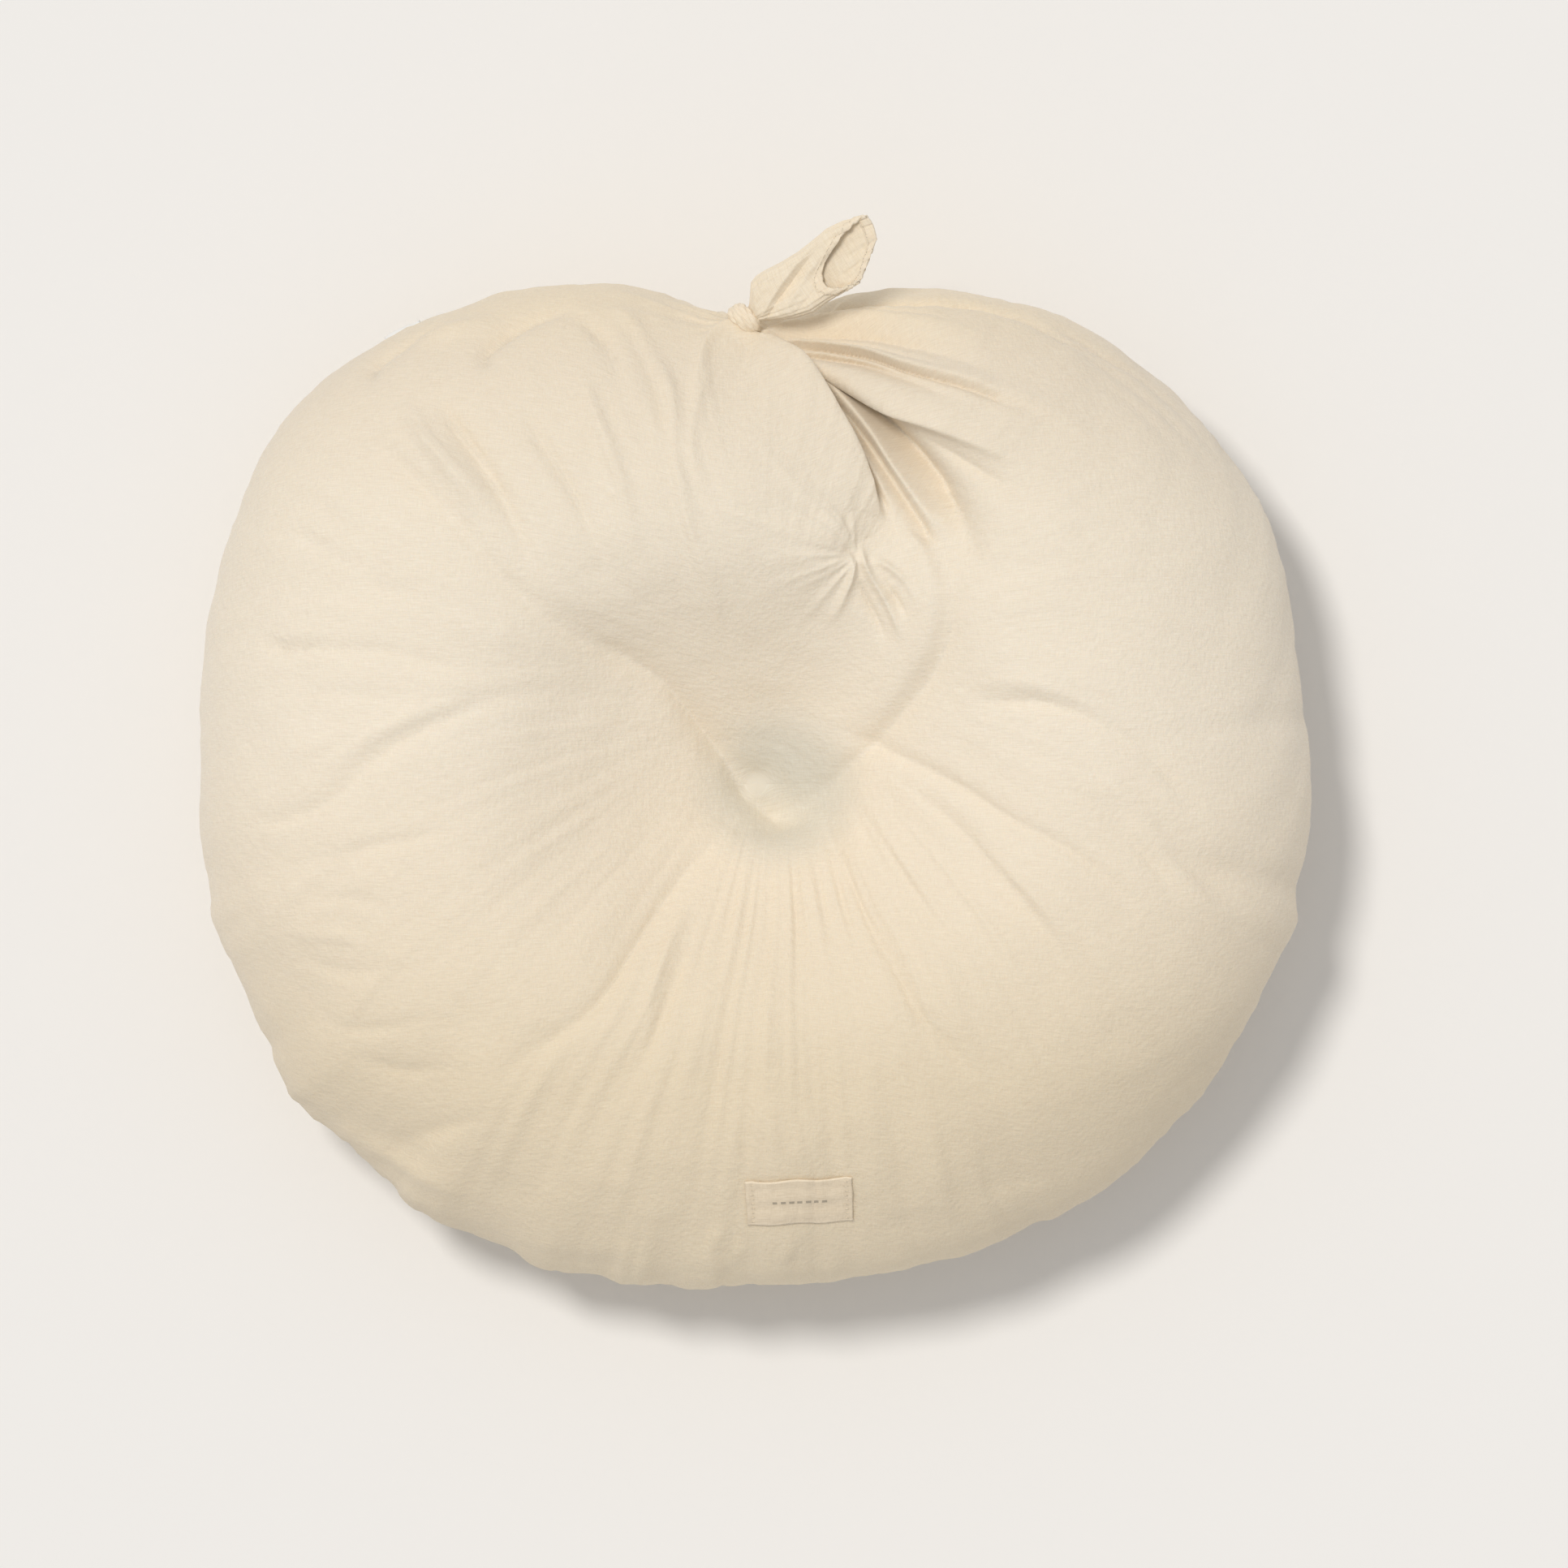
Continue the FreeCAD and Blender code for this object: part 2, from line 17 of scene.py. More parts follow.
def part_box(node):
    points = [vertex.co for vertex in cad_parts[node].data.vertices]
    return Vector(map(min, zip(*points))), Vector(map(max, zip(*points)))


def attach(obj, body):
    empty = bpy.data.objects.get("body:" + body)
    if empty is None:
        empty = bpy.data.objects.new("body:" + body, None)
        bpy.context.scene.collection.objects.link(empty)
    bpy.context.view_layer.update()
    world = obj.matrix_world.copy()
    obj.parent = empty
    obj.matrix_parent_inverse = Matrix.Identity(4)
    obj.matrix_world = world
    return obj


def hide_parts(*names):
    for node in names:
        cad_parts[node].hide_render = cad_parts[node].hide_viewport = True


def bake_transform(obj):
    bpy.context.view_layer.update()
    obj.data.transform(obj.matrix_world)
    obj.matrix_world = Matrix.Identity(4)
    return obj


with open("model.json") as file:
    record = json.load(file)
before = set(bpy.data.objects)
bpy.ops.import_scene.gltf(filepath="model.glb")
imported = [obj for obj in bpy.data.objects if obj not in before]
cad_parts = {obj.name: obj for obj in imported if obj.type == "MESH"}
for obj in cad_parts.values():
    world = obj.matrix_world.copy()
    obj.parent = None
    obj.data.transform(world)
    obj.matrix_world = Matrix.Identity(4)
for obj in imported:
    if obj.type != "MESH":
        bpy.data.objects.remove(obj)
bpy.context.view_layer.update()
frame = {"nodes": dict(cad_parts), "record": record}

MM = 0.001

# ---------------------------------------------------------------- the frame's own sizes

top_low, top_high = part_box("cover_top_panel")
HALF_WIDTH = (top_high[0] - top_low[0]) / 2
HALF_DEPTH = -top_low[1]
SEAM = top_low[2]
CROWN = top_high[2]
knot_low, knot_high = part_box("knot_collar")
KNOT = (np.array(knot_low) + np.array(knot_high)) / 2
flop = next(j for j in frame["record"]["behaviour"]["joints"] if j["name"] == "loose_end_flop")
FOLD = np.array(flop["pos_m"])
HINGE = np.array(flop["axis"])
TAIL_RISE = math.radians(20)
TAIL_WAY = np.cross([0, 0, 1], HINGE) * math.cos(TAIL_RISE) + np.array([0, 0, math.sin(TAIL_RISE)])
TAIL_SIDE = -HINGE
TAIL_UP = np.cross(TAIL_WAY, TAIL_SIDE)

# ---------------------------------------------------------------- the sack's smooth shape

CROWN_SHARE = (0.566, 0.536)
BASE_SHARE = (0.618, 0.609)
HOLLOW_SHARE = 0.07
HOLLOW_DEPTH = 88 * MM
NOTCH_DEPTH, NOTCH_SPREAD = 30 * MM, 58 * MM
VALLEY_DEPTH, VALLEY_SPREAD = 50 * MM, 62 * MM
# how far right of the middle the valley from the knot runs, at distances behind the middle
VALLEY_BACK = [0, 60, 150, 200, 250, 310]
VALLEY_RIGHT = [10, 60, 112, 92, 58, 12]
FULLNESS = {("front", "left"): 2.3, ("front", "right"): 2.07, ("back", "left"): 2.95, ("back", "right"): 2.56}
# bearing in degrees, spread in degrees, how far out in mm: small departures from the smooth outline
LUMPS = [
    (58, 15, 7), (12, 9, -4), (113, 10, 4), (156, 12, -4),
    (190, 3, -3), (205, 7, -7), (214, 3, 3), (223, 8, -8), (231, 3, 4), (238, 4, -5), (246, 3, 3),
    (7, 1.6, -3), (-10.5, 1.8, -4.5), (-15, 2, 3), (-58, 3, -3),
]


def smooth(value):
    """A smooth step from 0 to 1."""
    value = np.clip(value, 0, 1)
    return value * value * (3 - 2 * value)


def bell(value, spread):
    return np.exp(-((value / spread) ** 2))


def turned(degrees, centre):
    """Degrees away from a bearing, from -180 to 180."""
    return np.mod(degrees - centre + 180, 360) - 180


def noise(across, along, seed, wrap=0):
    """Smooth random values from -1 to 1.  across repeats after wrap steps."""
    table = np.random.default_rng(seed).uniform(-1, 1, (512, 64))
    cell_a, cell_b = np.floor(across).astype(int), np.floor(along).astype(int)
    share_a, share_b = smooth(across - cell_a), smooth(along - cell_b)

    def corner(step_a, step_b):
        index = cell_a + step_a
        index = np.mod(index, wrap) if wrap else index
        return table[np.mod(index, 512), np.mod(cell_b + step_b, 64)]

    near = corner(0, 0) * (1 - share_a) + corner(1, 0) * share_a
    far = corner(0, 1) * (1 - share_a) + corner(1, 1) * share_a
    return near * (1 - share_b) + far * share_b


def outline(bearing, share):
    """Plan positions at a share of the silhouette's width, before the notch at the back is drawn in."""
    along, back = np.cos(bearing), np.sin(bearing)
    power = np.zeros_like(bearing)
    for (end, side), value in FULLNESS.items():
        here = ((back >= 0) == (end == "back")) & ((along >= 0) == (side == "right"))
        power[here] = value
    reach = (np.abs(along / HALF_WIDTH) ** power + np.abs(back / HALF_DEPTH) ** power) ** (-1 / power)
    for centre, spread, out in LUMPS:
        reach = reach + out * MM * bell(turned(np.degrees(bearing), centre), spread) * smooth(share * 2 - 0.8)
    return reach * along, reach * back


def dense_profile():
    """From the underside's centre to the hollow's: share of width and depth, height, drawn in, dropped."""
    turn = np.linspace(0, math.pi / 2, 400)
    share = np.linspace(0, 1, 400)
    flat = np.linspace(0.02, 1, 100)[:-1]
    floor = np.linspace(1, 0.03, 60)[1:]

    def halves(way):
        wall = BASE_SHARE[way] + (1 - BASE_SHARE[way]) * np.sin(turn)
        dome = CROWN_SHARE[way] + (1 - CROWN_SHARE[way]) * np.cos(turn[1:])
        hollow = CROWN_SHARE[way] * (1 - share[1:]) + HOLLOW_SHARE * share[1:]
        return np.concatenate([BASE_SHARE[way] * flat, wall, dome, hollow, HOLLOW_SHARE * floor])

    fall = HOLLOW_DEPTH * (0.7 * (1 - np.cos(math.pi * share[1:])) / 2 + 0.3 * share[1:] ** 2)
    height = np.concatenate([
        0 * flat,
        SEAM * (1 - np.cos(turn)),
        SEAM + (CROWN - SEAM) * np.sin(turn[1:]),
        CROWN - fall,
        CROWN - HOLLOW_DEPTH - 5 * MM * (1 - floor),
    ])
    drawn = np.concatenate([0 * flat, np.sin(turn), np.cos(turn[1:]), 0 * share[1:], 0 * floor])
    dropped = np.concatenate([0 * flat, 0 * turn, np.sin(turn[1:]) ** 2, (1 - share[1:]) ** 2, 0 * floor])
    rows = np.stack([halves(0), halves(1), height, drawn, dropped], axis=1)
    steps = np.hypot(np.diff(rows[:, 0]) * HALF_WIDTH, np.diff(rows[:, 2]))
    length = np.concatenate([[0], np.cumsum(steps)])
    return rows, length, length[len(flat) + len(turn) - 1]


# ---------------------------------------------------------------- the sack's grid

COLUMNS, FLAT_ROWS, WALL_ROWS, TOP_ROWS, SPLIT = 560, 6, 42, 138, 3
BASE_ROWS = FLAT_ROWS + WALL_ROWS
profile_rows, profile_length, SEAM_ARC = dense_profile()
FLAT_ARC = BASE_SHARE[0] * HALF_WIDTH
ROW_ARCS = np.concatenate([
    np.linspace(0, FLAT_ARC, FLAT_ROWS, endpoint=False),
    np.linspace(FLAT_ARC, SEAM_ARC, WALL_ROWS, endpoint=False),
    np.linspace(SEAM_ARC, profile_length[-1], TOP_ROWS + 1),
])
fine_turn = np.linspace(0, 2 * math.pi, 20001)
crowding = 1 + 0.9 * bell(fine_turn - math.radians(70), math.radians(24))
crowded = np.concatenate([[0], np.cumsum((crowding[1:] + crowding[:-1]) / 2)])


def bearing_at(column):
    """Bearing of a column, which may be part of the way to the next: columns crowd near the pleats."""
    return np.interp(np.mod(column, COLUMNS) / COLUMNS * crowded[-1], crowded, fine_turn)


def arc_at(row):
    """Distance along the profile, from the underside's centre."""
    return np.interp(row, np.arange(len(ROW_ARCS)), ROW_ARCS)


def bare_skin(row, column):
    """The stuffed sack without its folds, at rows and columns of the grid."""
    bearing, arc = bearing_at(column), arc_at(row)
    shape = [np.interp(arc, profile_length, profile_rows[:, n]) for n in range(5)]
    x0, y0 = outline(bearing, shape[0])
    x, y, z = shape[0] * x0, shape[1] * y0, shape[2]
    back = np.clip(np.sin(bearing), 0, 1)
    y = y - (back > 0) * shape[3] * NOTCH_DEPTH * bell(x, NOTCH_SPREAD)
    valley = np.interp(y / MM, VALLEY_BACK, VALLEY_RIGHT) * MM
    z = z - shape[4] * VALLEY_DEPTH * back**2 * bell(x - valley, VALLEY_SPREAD)
    return drawn_to_knot(np.stack([x, y, z], axis=-1))


NECK_ROOT = KNOT + np.array([2, -27, -4]) * MM
NECK_TIP = KNOT - TAIL_WAY * 7 * MM


def drawn_to_knot(points):
    """Draws the cloth out into the short neck that enters the knot."""
    away = np.linalg.norm(points - NECK_ROOT, axis=-1)
    pull = np.clip(1 - away / (88 * MM), 0, 1) ** 1.9
    return points + pull[..., None] * (NECK_TIP - NECK_ROOT)


def outward_at(row, column):
    """Outward normals of the bare skin."""
    last = len(ROW_ARCS) - 1
    up = bare_skin(np.minimum(row + 0.5, last), column) - bare_skin(np.maximum(row - 0.5, 0), column)
    round_it = bare_skin(row, column + 0.5) - bare_skin(row, column - 0.5)
    cross = np.cross(round_it, up)
    return cross / np.maximum(np.linalg.norm(cross, axis=-1, keepdims=True), 1e-12)


def split_cells():
    """Marks the cells of the grid that lie among the pleats beside the knot and at the gather."""
    row, column = np.meshgrid(np.arange(len(ROW_ARCS) - 1) + 0.5, np.arange(COLUMNS) + 0.5, indexing="ij")
    x, y, z = np.moveaxis(bare_skin(row, column), -1, 0) / MM
    fan = (x > -48) & (x < 165) & (y > 165 + 0.35 * np.maximum(x - 60, 0)) & (z > SEAM / MM + 6)
    gather = (x > 20) & (x < 118) & (y > 100) & (y < 185) & (z > SEAM / MM)
    return fan | gather


def lattice():
    """Grid rows and columns of every vertex, the faces, and the vertices at the unsplit grid's corners."""
    marked = split_cells()
    cells, last = marked.shape[0], COLUMNS * SPLIT
    numbers = {}

    def vertex(fine_row, fine_column):
        return numbers.setdefault((fine_row, fine_column % last), len(numbers))

    def is_split(row, column):
        return 0 <= row < cells and marked[row, column % COLUMNS]

    faces = []
    inner = range(1, SPLIT)
    for row in range(cells):
        low, high = row * SPLIT, (row + 1) * SPLIT
        for column in range(COLUMNS):
            left, right = column * SPLIT, (column + 1) * SPLIT
            if marked[row, column]:
                for i in range(low, high):
                    for k in range(left, right):
                        faces.append((vertex(i, k), vertex(i, k + 1), vertex(i + 1, k + 1), vertex(i + 1, k)))
                continue
            rim = [(low, left)]
            rim += [(low, left + n) for n in inner if is_split(row - 1, column)]
            rim += [(low, right)]
            rim += [(low + n, right) for n in inner if is_split(row, column + 1)]
            rim += [(high, right)]
            rim += [(high, right - n) for n in inner if is_split(row + 1, column)]
            rim += [(high, left)]
            rim += [(high - n, left) for n in inner if is_split(row, column - 1)]
            faces.append(tuple(vertex(*place) for place in rim))
    places = np.array(list(numbers)) / SPLIT
    corners = np.array([
        [numbers[(row * SPLIT, column * SPLIT)] for column in range(COLUMNS)] for row in range(cells + 1)
    ])
    return places[:, 0], places[:, 1], faces, corners


# ---------------------------------------------------------------- folds

# how much the heights in the tables below are raised: the pleats' ridges, their grooves, and the creases
RIDGE_GAIN, GROOVE_GAIN, CREASE_GAIN = 1.4, 1.75, 2.5
# A pleat is a line of (right, back, height, width) in mm on the top of the sack.  skew is the width on the
# line's right-hand side as a share of the width on its left, and lean is how far its crest moves over to
# the left, as a share of its height.
PLEATS = [
    # the left lobe's edge: the hook below the knot, then the lip over the valley
    (2, 0, [(-42, 256, 0, 4), (-40, 283, 2, 3.4), (-36, 299, 3, 3), (-28, 309, 3.4, 2.6),
            (-18, 312.5, 3.4, 2.4), (-9, 310, 3, 2.4), (-2, 304, 2, 2.4), (4, 299, 0, 3)]),
    (7, 0.5, [(-4, 303, 0, 3), (5, 299, 5, 3), (14, 291, 8.5, 3.4), (25, 281, 12, 4), (42, 253, 13.5, 4.5),
              (61, 222, 12, 4.5), (76, 193, 7, 5), (87, 175, 0, 6)]),
    (1, 0, [(10, 300, -3, 2.4), (22, 291, -6, 3), (35, 277, -8, 3.6), (51, 253, -9, 4.4),
            (69, 224, -8, 4.6), (84, 196, -4, 4.6), (93, 178, 0, 5)]),
    # the narrow pleat beside it and the dark groove after that
    (0.8, 0.2, [(16, 295, 1, 2), (36, 275, 3.5, 2.6), (54, 257, 5, 3.2), (72, 224, 5, 3.6), (87, 197, 3, 4),
                (97, 180, 0, 5)]),
    (1, 0, [(20, 292, -3, 1.8), (36, 279, -6, 2.4), (62, 249, -8, 2.8), (89, 210, -8, 3.2),
            (114, 172, -4, 3.6), (125, 156, 0, 4)]),
    # the second pleat, and the wide deep valley behind it
    (1, 0.2, [(24, 291, 1, 2), (50, 273, 4, 3.6), (72, 246, 7.5, 5), (95, 211, 8, 6), (119, 179, 5, 6),
              (136, 158, 0, 8)]),
    (0.7, 0, [(24, 291, -3, 2.4), (50, 276, -8, 4.6), (76, 252, -16, 8), (104, 219, -17, 11),
              (128, 188, -11, 13), (152, 152, 0, 15)]),
    # the broad fold with the sharp lower edge
    (0.22, -0.3, [(15, 296, 2, 4), (50, 277, 7, 10), (83, 259, 9, 15), (117, 247, 8, 20),
                  (150, 233, 4.5, 22), (190, 216, 0, 22)]),
    (1, 0, [(16, 297, -3, 1.8), (45, 294, -7, 3), (64, 291, -8, 4.4), (95, 281, -5.5, 7),
            (130, 266, -2.5, 10), (170, 250, 0, 12)]),
    (1, 0, [(108, 238, 0, 6), (135, 223, -3.5, 7), (165, 206, -3, 8), (205, 186, 0, 10)]),
    # the thin double pleat that runs furthest
    (0.45, -0.4, [(5, 301, 1, 2), (42, 303, 5, 3.2), (72, 300, 6, 4), (103, 290, 5.5, 6), (150, 276, 4, 8),
                  (204, 252, 2, 10), (245, 228, 0, 12)]),
    (1, 0, [(10, 298.5, -2, 1.4), (42, 299.5, -5, 1.6), (72, 295.5, -5.5, 1.8), (103, 285.5, -5, 2),
            (150, 270, -3.4, 2.4), (195, 252, -1, 3), (225, 236, 0, 3)]),
    (1, 0, [(8, 303, -2, 1.4), (40, 306, -3.4, 1.6), (74, 303, -3, 2), (110, 293, -1.6, 3),
            (140, 282, 0, 4)]),
    (1, 0, [(4, 312, -1, 1.6), (30, 317.5, -3, 1.6), (64, 323, -3, 2), (100, 323, -2, 2.6),
            (140, 314, 0, 4)]),
    (0.8, 0, [(12, 297.5, 0, 1.4), (42, 296.5, 2.4, 1.6), (70, 291.5, 2.2, 2), (100, 281, 0, 3)]),
    # the soft lobe above it, and the doubled edge along the back rim
    (1.2, 0, [(8, 304, -1, 1.8), (36, 309, -4, 3), (62, 311, -6, 5), (96, 306, -5.5, 7), (130, 295, -3, 9),
              (175, 276, 0, 12)]),
    (1, 0, [(6, 307, 1, 2), (36, 317, 4, 4.5), (75, 321, 5, 7), (120, 316, 3.5, 10), (165, 302, 0, 14)]),
    (1, 0, [(0, 309, -1, 1.4), (36, 323, -5, 1.8), (91, 331, -6, 2.2), (130, 331, -5, 2.2),
            (169, 325, -3.4, 2.2), (222, 300, -1.4, 2.4), (240, 290, 0, 2.6)]),
    # the edge of the tongue below the gather, and the dark crescent outside it
    (3.2, 0, [(84, 190, 0, 4), (104, 172, 2, 4.5), (118, 149, 3.6, 5), (121, 116, 3.8, 6), (111, 88, 3, 7),
              (97, 66, 2.4, 8), (76, 40, 1.6, 9), (48, 14, 1, 10), (20, -10, 0, 10)]),
    (0.6, 0, [(118, 166, 0, 6), (129, 146, -1.6, 8), (131, 117, -3, 10), (122, 84, -4.4, 12),
              (103, 56, -5, 14), (76, 28, -5.5, 15), (48, 4, -6, 16), (20, -16, -4, 16), (-4, -26, 0, 14)]),
    # the left arm of the hollow
    (0.7, 0, [(-140, 122, 0, 12), (-100, 92, -3, 12), (-62, 66, -5, 11), (-38, 38, -7, 11),
              (-12, 6, -8, 12), (6, -14, -5, 12), (16, -28, 0, 12)]),
]
# Plain creases, ridges and grooves, each a line of (right, back, height, width) in mm.
CREASES = [
    # the back rim
    [(200, 318, 0, 2), (235, 299, -2.2, 2.2), (262, 283, -1.6, 2.2), (290, 258, -1.0, 2.4),
     (330, 206, 0, 3)],
    [(215, 300, 0, 3), (250, 280, -1.2, 3), (285, 250, -1, 3), (318, 210, 0, 3)],
    [(225, 285, 0, 4), (262, 258, -0.8, 4), (300, 215, 0, 4)],
    [(-128, 324, 0, 4), (-108, 308, -2.2, 4), (-97, 292, -1.4, 5), (-92, 270, 0, 5)],
    [(-183, 278, 0, 6), (-186, 292, -3, 5), (-172, 308, -4, 5), (-150, 320, -3.2, 5), (-118, 326, 0, 6)],
    [(-262, 268, 0, 5), (-262, 284, -3, 4), (-244, 300, -3.4, 4), (-205, 317, 0, 5)],
    [(-240, 300, 0, 4), (-215, 306, 2.4, 5), (-178, 318, 0, 5)],
    # the left lobe
    [(-100, 326, 0, 5), (-85, 316, 1.4, 4), (-73, 293, 1.5, 4), (-61, 273, 1.6, 4.5), (-57, 234, 1.2, 5),
     (-46, 175, 1.1, 5), (-28, 127, 0.8, 5), (-24, 96, 0, 6)],
    [(-90, 318, 0, 4), (-78, 300, -1.3, 4), (-66, 268, -1.2, 4), (-62, 230, -0.8, 4), (-52, 175, -0.8, 5),
     (-36, 127, 0, 5)],
    [(-30, 286, 0, 5), (-40, 262, 0.8, 5), (-44, 230, 0.7, 5), (-38, 200, 0, 6)],
    [(-218, 266, 0, 6), (-205, 243, -4, 5), (-188, 220, -4.4, 6), (-170, 190, -3.6, 7),
     (-157, 158, -1.6, 7), (-150, 135, 0, 8)],
    [(-240, 262, 0, 6), (-228, 240, 3, 5), (-205, 212, 3.2, 6), (-180, 180, 0, 8)],
    [(-160, 262, 0, 6), (-150, 240, -2, 5), (-128, 205, -2.4, 5), (-110, 168, -1.6, 6), (-98, 140, 0, 7)],
    [(-120, 285, 0, 6), (-112, 258, 2, 5), (-98, 222, 2, 5), (-86, 180, 0.8, 6), (-80, 150, 0, 7)],
    [(-275, 250, 0, 5), (-258, 236, -1.2, 4), (-236, 214, -1.0, 5), (-215, 190, 0, 6)],
    [(-300, 250, 0, 7), (-268, 232, -1.4, 6), (-229, 204, -1.9, 7), (-203, 178, -2.0, 8),
     (-174, 142, -2.1, 9), (-129, 104, -2.4, 11), (-95, 84, -2.2, 13), (-62, 62, 0, 12)],
    [(-305, 222, 0, 5), (-275, 212, -0.9, 4), (-245, 190, 0, 6)],
    [(-320, 200, 0, 4), (-290, 196, 0.8, 5), (-258, 178, 0, 5)],
    [(-335, 176, 0, 4), (-312, 170, -1.1, 3.5), (-285, 154, -1.0, 4), (-262, 148, 0, 5)],
    [(-275, 140, 0, 4), (-250, 133, -0.9, 3.5), (-225, 131, 0, 4)],
    [(-330, 120, 0, 4), (-300, 122, 0.8, 4), (-262, 114, 0, 4)],
    [(-338, 96, 0, 3), (-330, 94, -1.8, 3), (-290, 93, -1.6, 4), (-246, 90, -1.2, 4.5), (-200, 76, -0.9, 6),
     (-160, 68, 0, 7)],
    [(-320, 62, 0, 4), (-280, 62, -0.8, 4), (-235, 58, 0, 5)],
    [(-330, 20, 0, 4), (-300, 26, 0.8, 5), (-270, 44, 0, 5)],
    [(-345, -25, 0, 5), (-325, -24, -1.4, 4), (-296, -13, -1.7, 5), (-262, 17, -1.5, 6),
     (-240, 31, -1.6, 6), (-205, 47, -1.5, 7), (-174, 58, -0.8, 8), (-140, 62, 0, 9)],
    [(-300, 5, 0, 5), (-262, 32, 1.2, 5), (-220, 52, 0.8, 6), (-190, 62, 0, 7)],
    [(-320, -60, 0, 4), (-285, -48, -0.9, 3.5), (-240, -38, -0.9, 4), (-200, -30, 0, 5)],
    [(-315, -80, 0, 4), (-280, -78, -0.9, 3.5), (-240, -86, 0, 4)],
    [(-330, -100, 0, 4), (-290, -104, 0.9, 4), (-250, -110, -0.2, 4), (-215, -104, 0, 5)],
    [(-318, -118, 0, 5), (-280, -128, -1, 4), (-235, -124, 0, 5)],
    [(-305, -160, 0, 6), (-265, -168, -1.2, 5), (-215, -158, 0, 6)],
    [(-250, -250, 0, 6), (-215, -236, -1.6, 6), (-180, -226, 0, 8)],
    [(-290, -230, 0, 6), (-240, -262, 1.6, 6), (-190, -284, 0, 8)],
    [(-280, -185, 0, 5), (-240, -196, -1.1, 5), (-200, -192, 0, 6)],
    # the strong crease from the hollow to the lower left
    [(-20, -30, 0, 10), (-46, -56, -1.8, 9), (-66, -84, -2.4, 8), (-84, -112, -2.8, 7),
     (-101, -141, -2.9, 7), (-127, -166, -2.1, 7), (-151, -182, -1, 8), (-180, -205, 0, 9)],
    [(-48, -80, 0, 5), (-60, -108, 1.4, 5), (-72, -150, 1.1, 5), (-76, -190, 0, 5)],
    # right of the middle and to the lower right
    [(38, -16, 0, 9), (49, -36, -1.8, 7), (70, -80, -2, 6), (94, -125, -2.2, 5), (112, -158, -2, 5),
     (138, -186, -1.4, 5), (152, -202, 0, 6)],
    [(50, 40, 0, 9), (72, 28, -1.5, 7), (105, 15, -1.9, 6), (138, -2, -2, 5), (175, -25, -2, 4.5),
     (216, -47, -1.8, 4.5), (245, -70, -1.3, 4.5), (262, -92, 0, 5)],
    [(90, 10, 0, 6), (130, -22, -1.1, 5), (168, -62, -1.2, 5), (200, -105, -0.8, 5), (214, -135, 0, 5)],
    [(120, -10, 0, 6), (150, -50, -1.1, 5), (185, -90, -1.0, 5), (214, -130, 0, 5)],
    [(150, -40, 0, 5), (190, -78, 1.1, 4), (224, -120, 0, 4)],
    [(140, 56, 0, 6), (170, 56, -1.5, 5), (205, 53, -1.8, 5), (235, 40, -1.6, 4.5), (260, 26, -1.3, 4.5),
     (285, 0, -1.4, 4), (303, -20, 0, 4)],
    [(150, 72, 0, 5), (190, 68, 1.0, 5), (225, 58, 0, 5)],
    [(225, 10, 0, 5), (258, -14, 1.0, 4), (284, -48, 0, 4)],
    [(200, 5, 0, 5), (240, -20, -1.1, 4), (275, -58, -0.8, 4), (292, -88, 0, 4)],
    [(232, -20, 0, 5), (262, -48, -0.9, 4), (290, -84, 0, 5)],
    # the braid of small pleats that runs down from the gather
    [(72, 166, 0, 3), (74, 150, 2.2, 2.6), (80, 138, 2.0, 2.6), (88, 126, 2.2, 2.8), (95, 112, 1.6, 3.2),
     (100, 98, 0, 4)],
    [(64, 160, 0, 3), (66, 146, 1.6, 3), (60, 128, 1.2, 3.5), (48, 108, 0, 4)],
    [(80, 154, 0, 2.5), (90, 148, 1.6, 2.5), (102, 138, 1.2, 3), (110, 124, 0, 3)],
    [(70, 140, 0, 2.5), (76, 124, -1.8, 2.6), (84, 108, -1.3, 3), (90, 92, 0, 3)],
    [(86, 140, 0, 2.4), (94, 128, -1.6, 2.4), (104, 112, 0, 3)],
    # puckers above and below the label
    [(-24, -300, 0, 3), (-30, -314, 1.2, 2.6), (-34, -328, 0, 3)],
    [(-8, -312, 0, 3), (-16, -324, 1.0, 2.6), (-20, -334, 0, 3)],
    [(22, -302, 0, 2.5), (24, -312, 1.2, 2.4), (16, -326, 0, 3)],
    [(28, -264, 0, 2.5), (29, -246, 1.0, 2.4), (26, -222, 0, 3)],
    [(40, -264, 0, 2.5), (40, -244, 1.0, 2.4), (37, -214, 0, 3)],
    [(14, -264, 0, 2.5), (12, -244, 0.9, 2.4), (9, -218, 0, 3)],
    [(-10, -268, 0, 2.5), (-14, -246, 0.8, 2.4), (-16, -222, 0, 3)],
]
GATHER = np.array([70, 156]) * MM
# bearing in degrees and length in mm of the pleats that the gather draws in from the left
GATHER_PLEATS = [(112, 46), (128, 84), (139, 120), (149, 104), (158, 132), (168, 90), (181, 66), (196, 84),
                 (212, 60), (229, 74), (246, 50)]


def gather_pleats():
    """A ridge for each pleat of the gather, narrow at its root."""
    pleats = []
    for number, (bearing, length) in enumerate(GATHER_PLEATS):
        line = []
        for share, lift in ((0.05, 0), (0.14, 1), (0.4, 0.75), (0.7, 0.4), (1, 0)):
            turn = math.radians(bearing + 7 * share * math.sin(2.1 * number))
            at = GATHER / MM + np.array([math.cos(turn), math.sin(turn)]) * length * share
            line.append((at[0], at[1], 1.9 * lift, 1.5 + 3.6 * share))
        pleats.append(line)
    return pleats


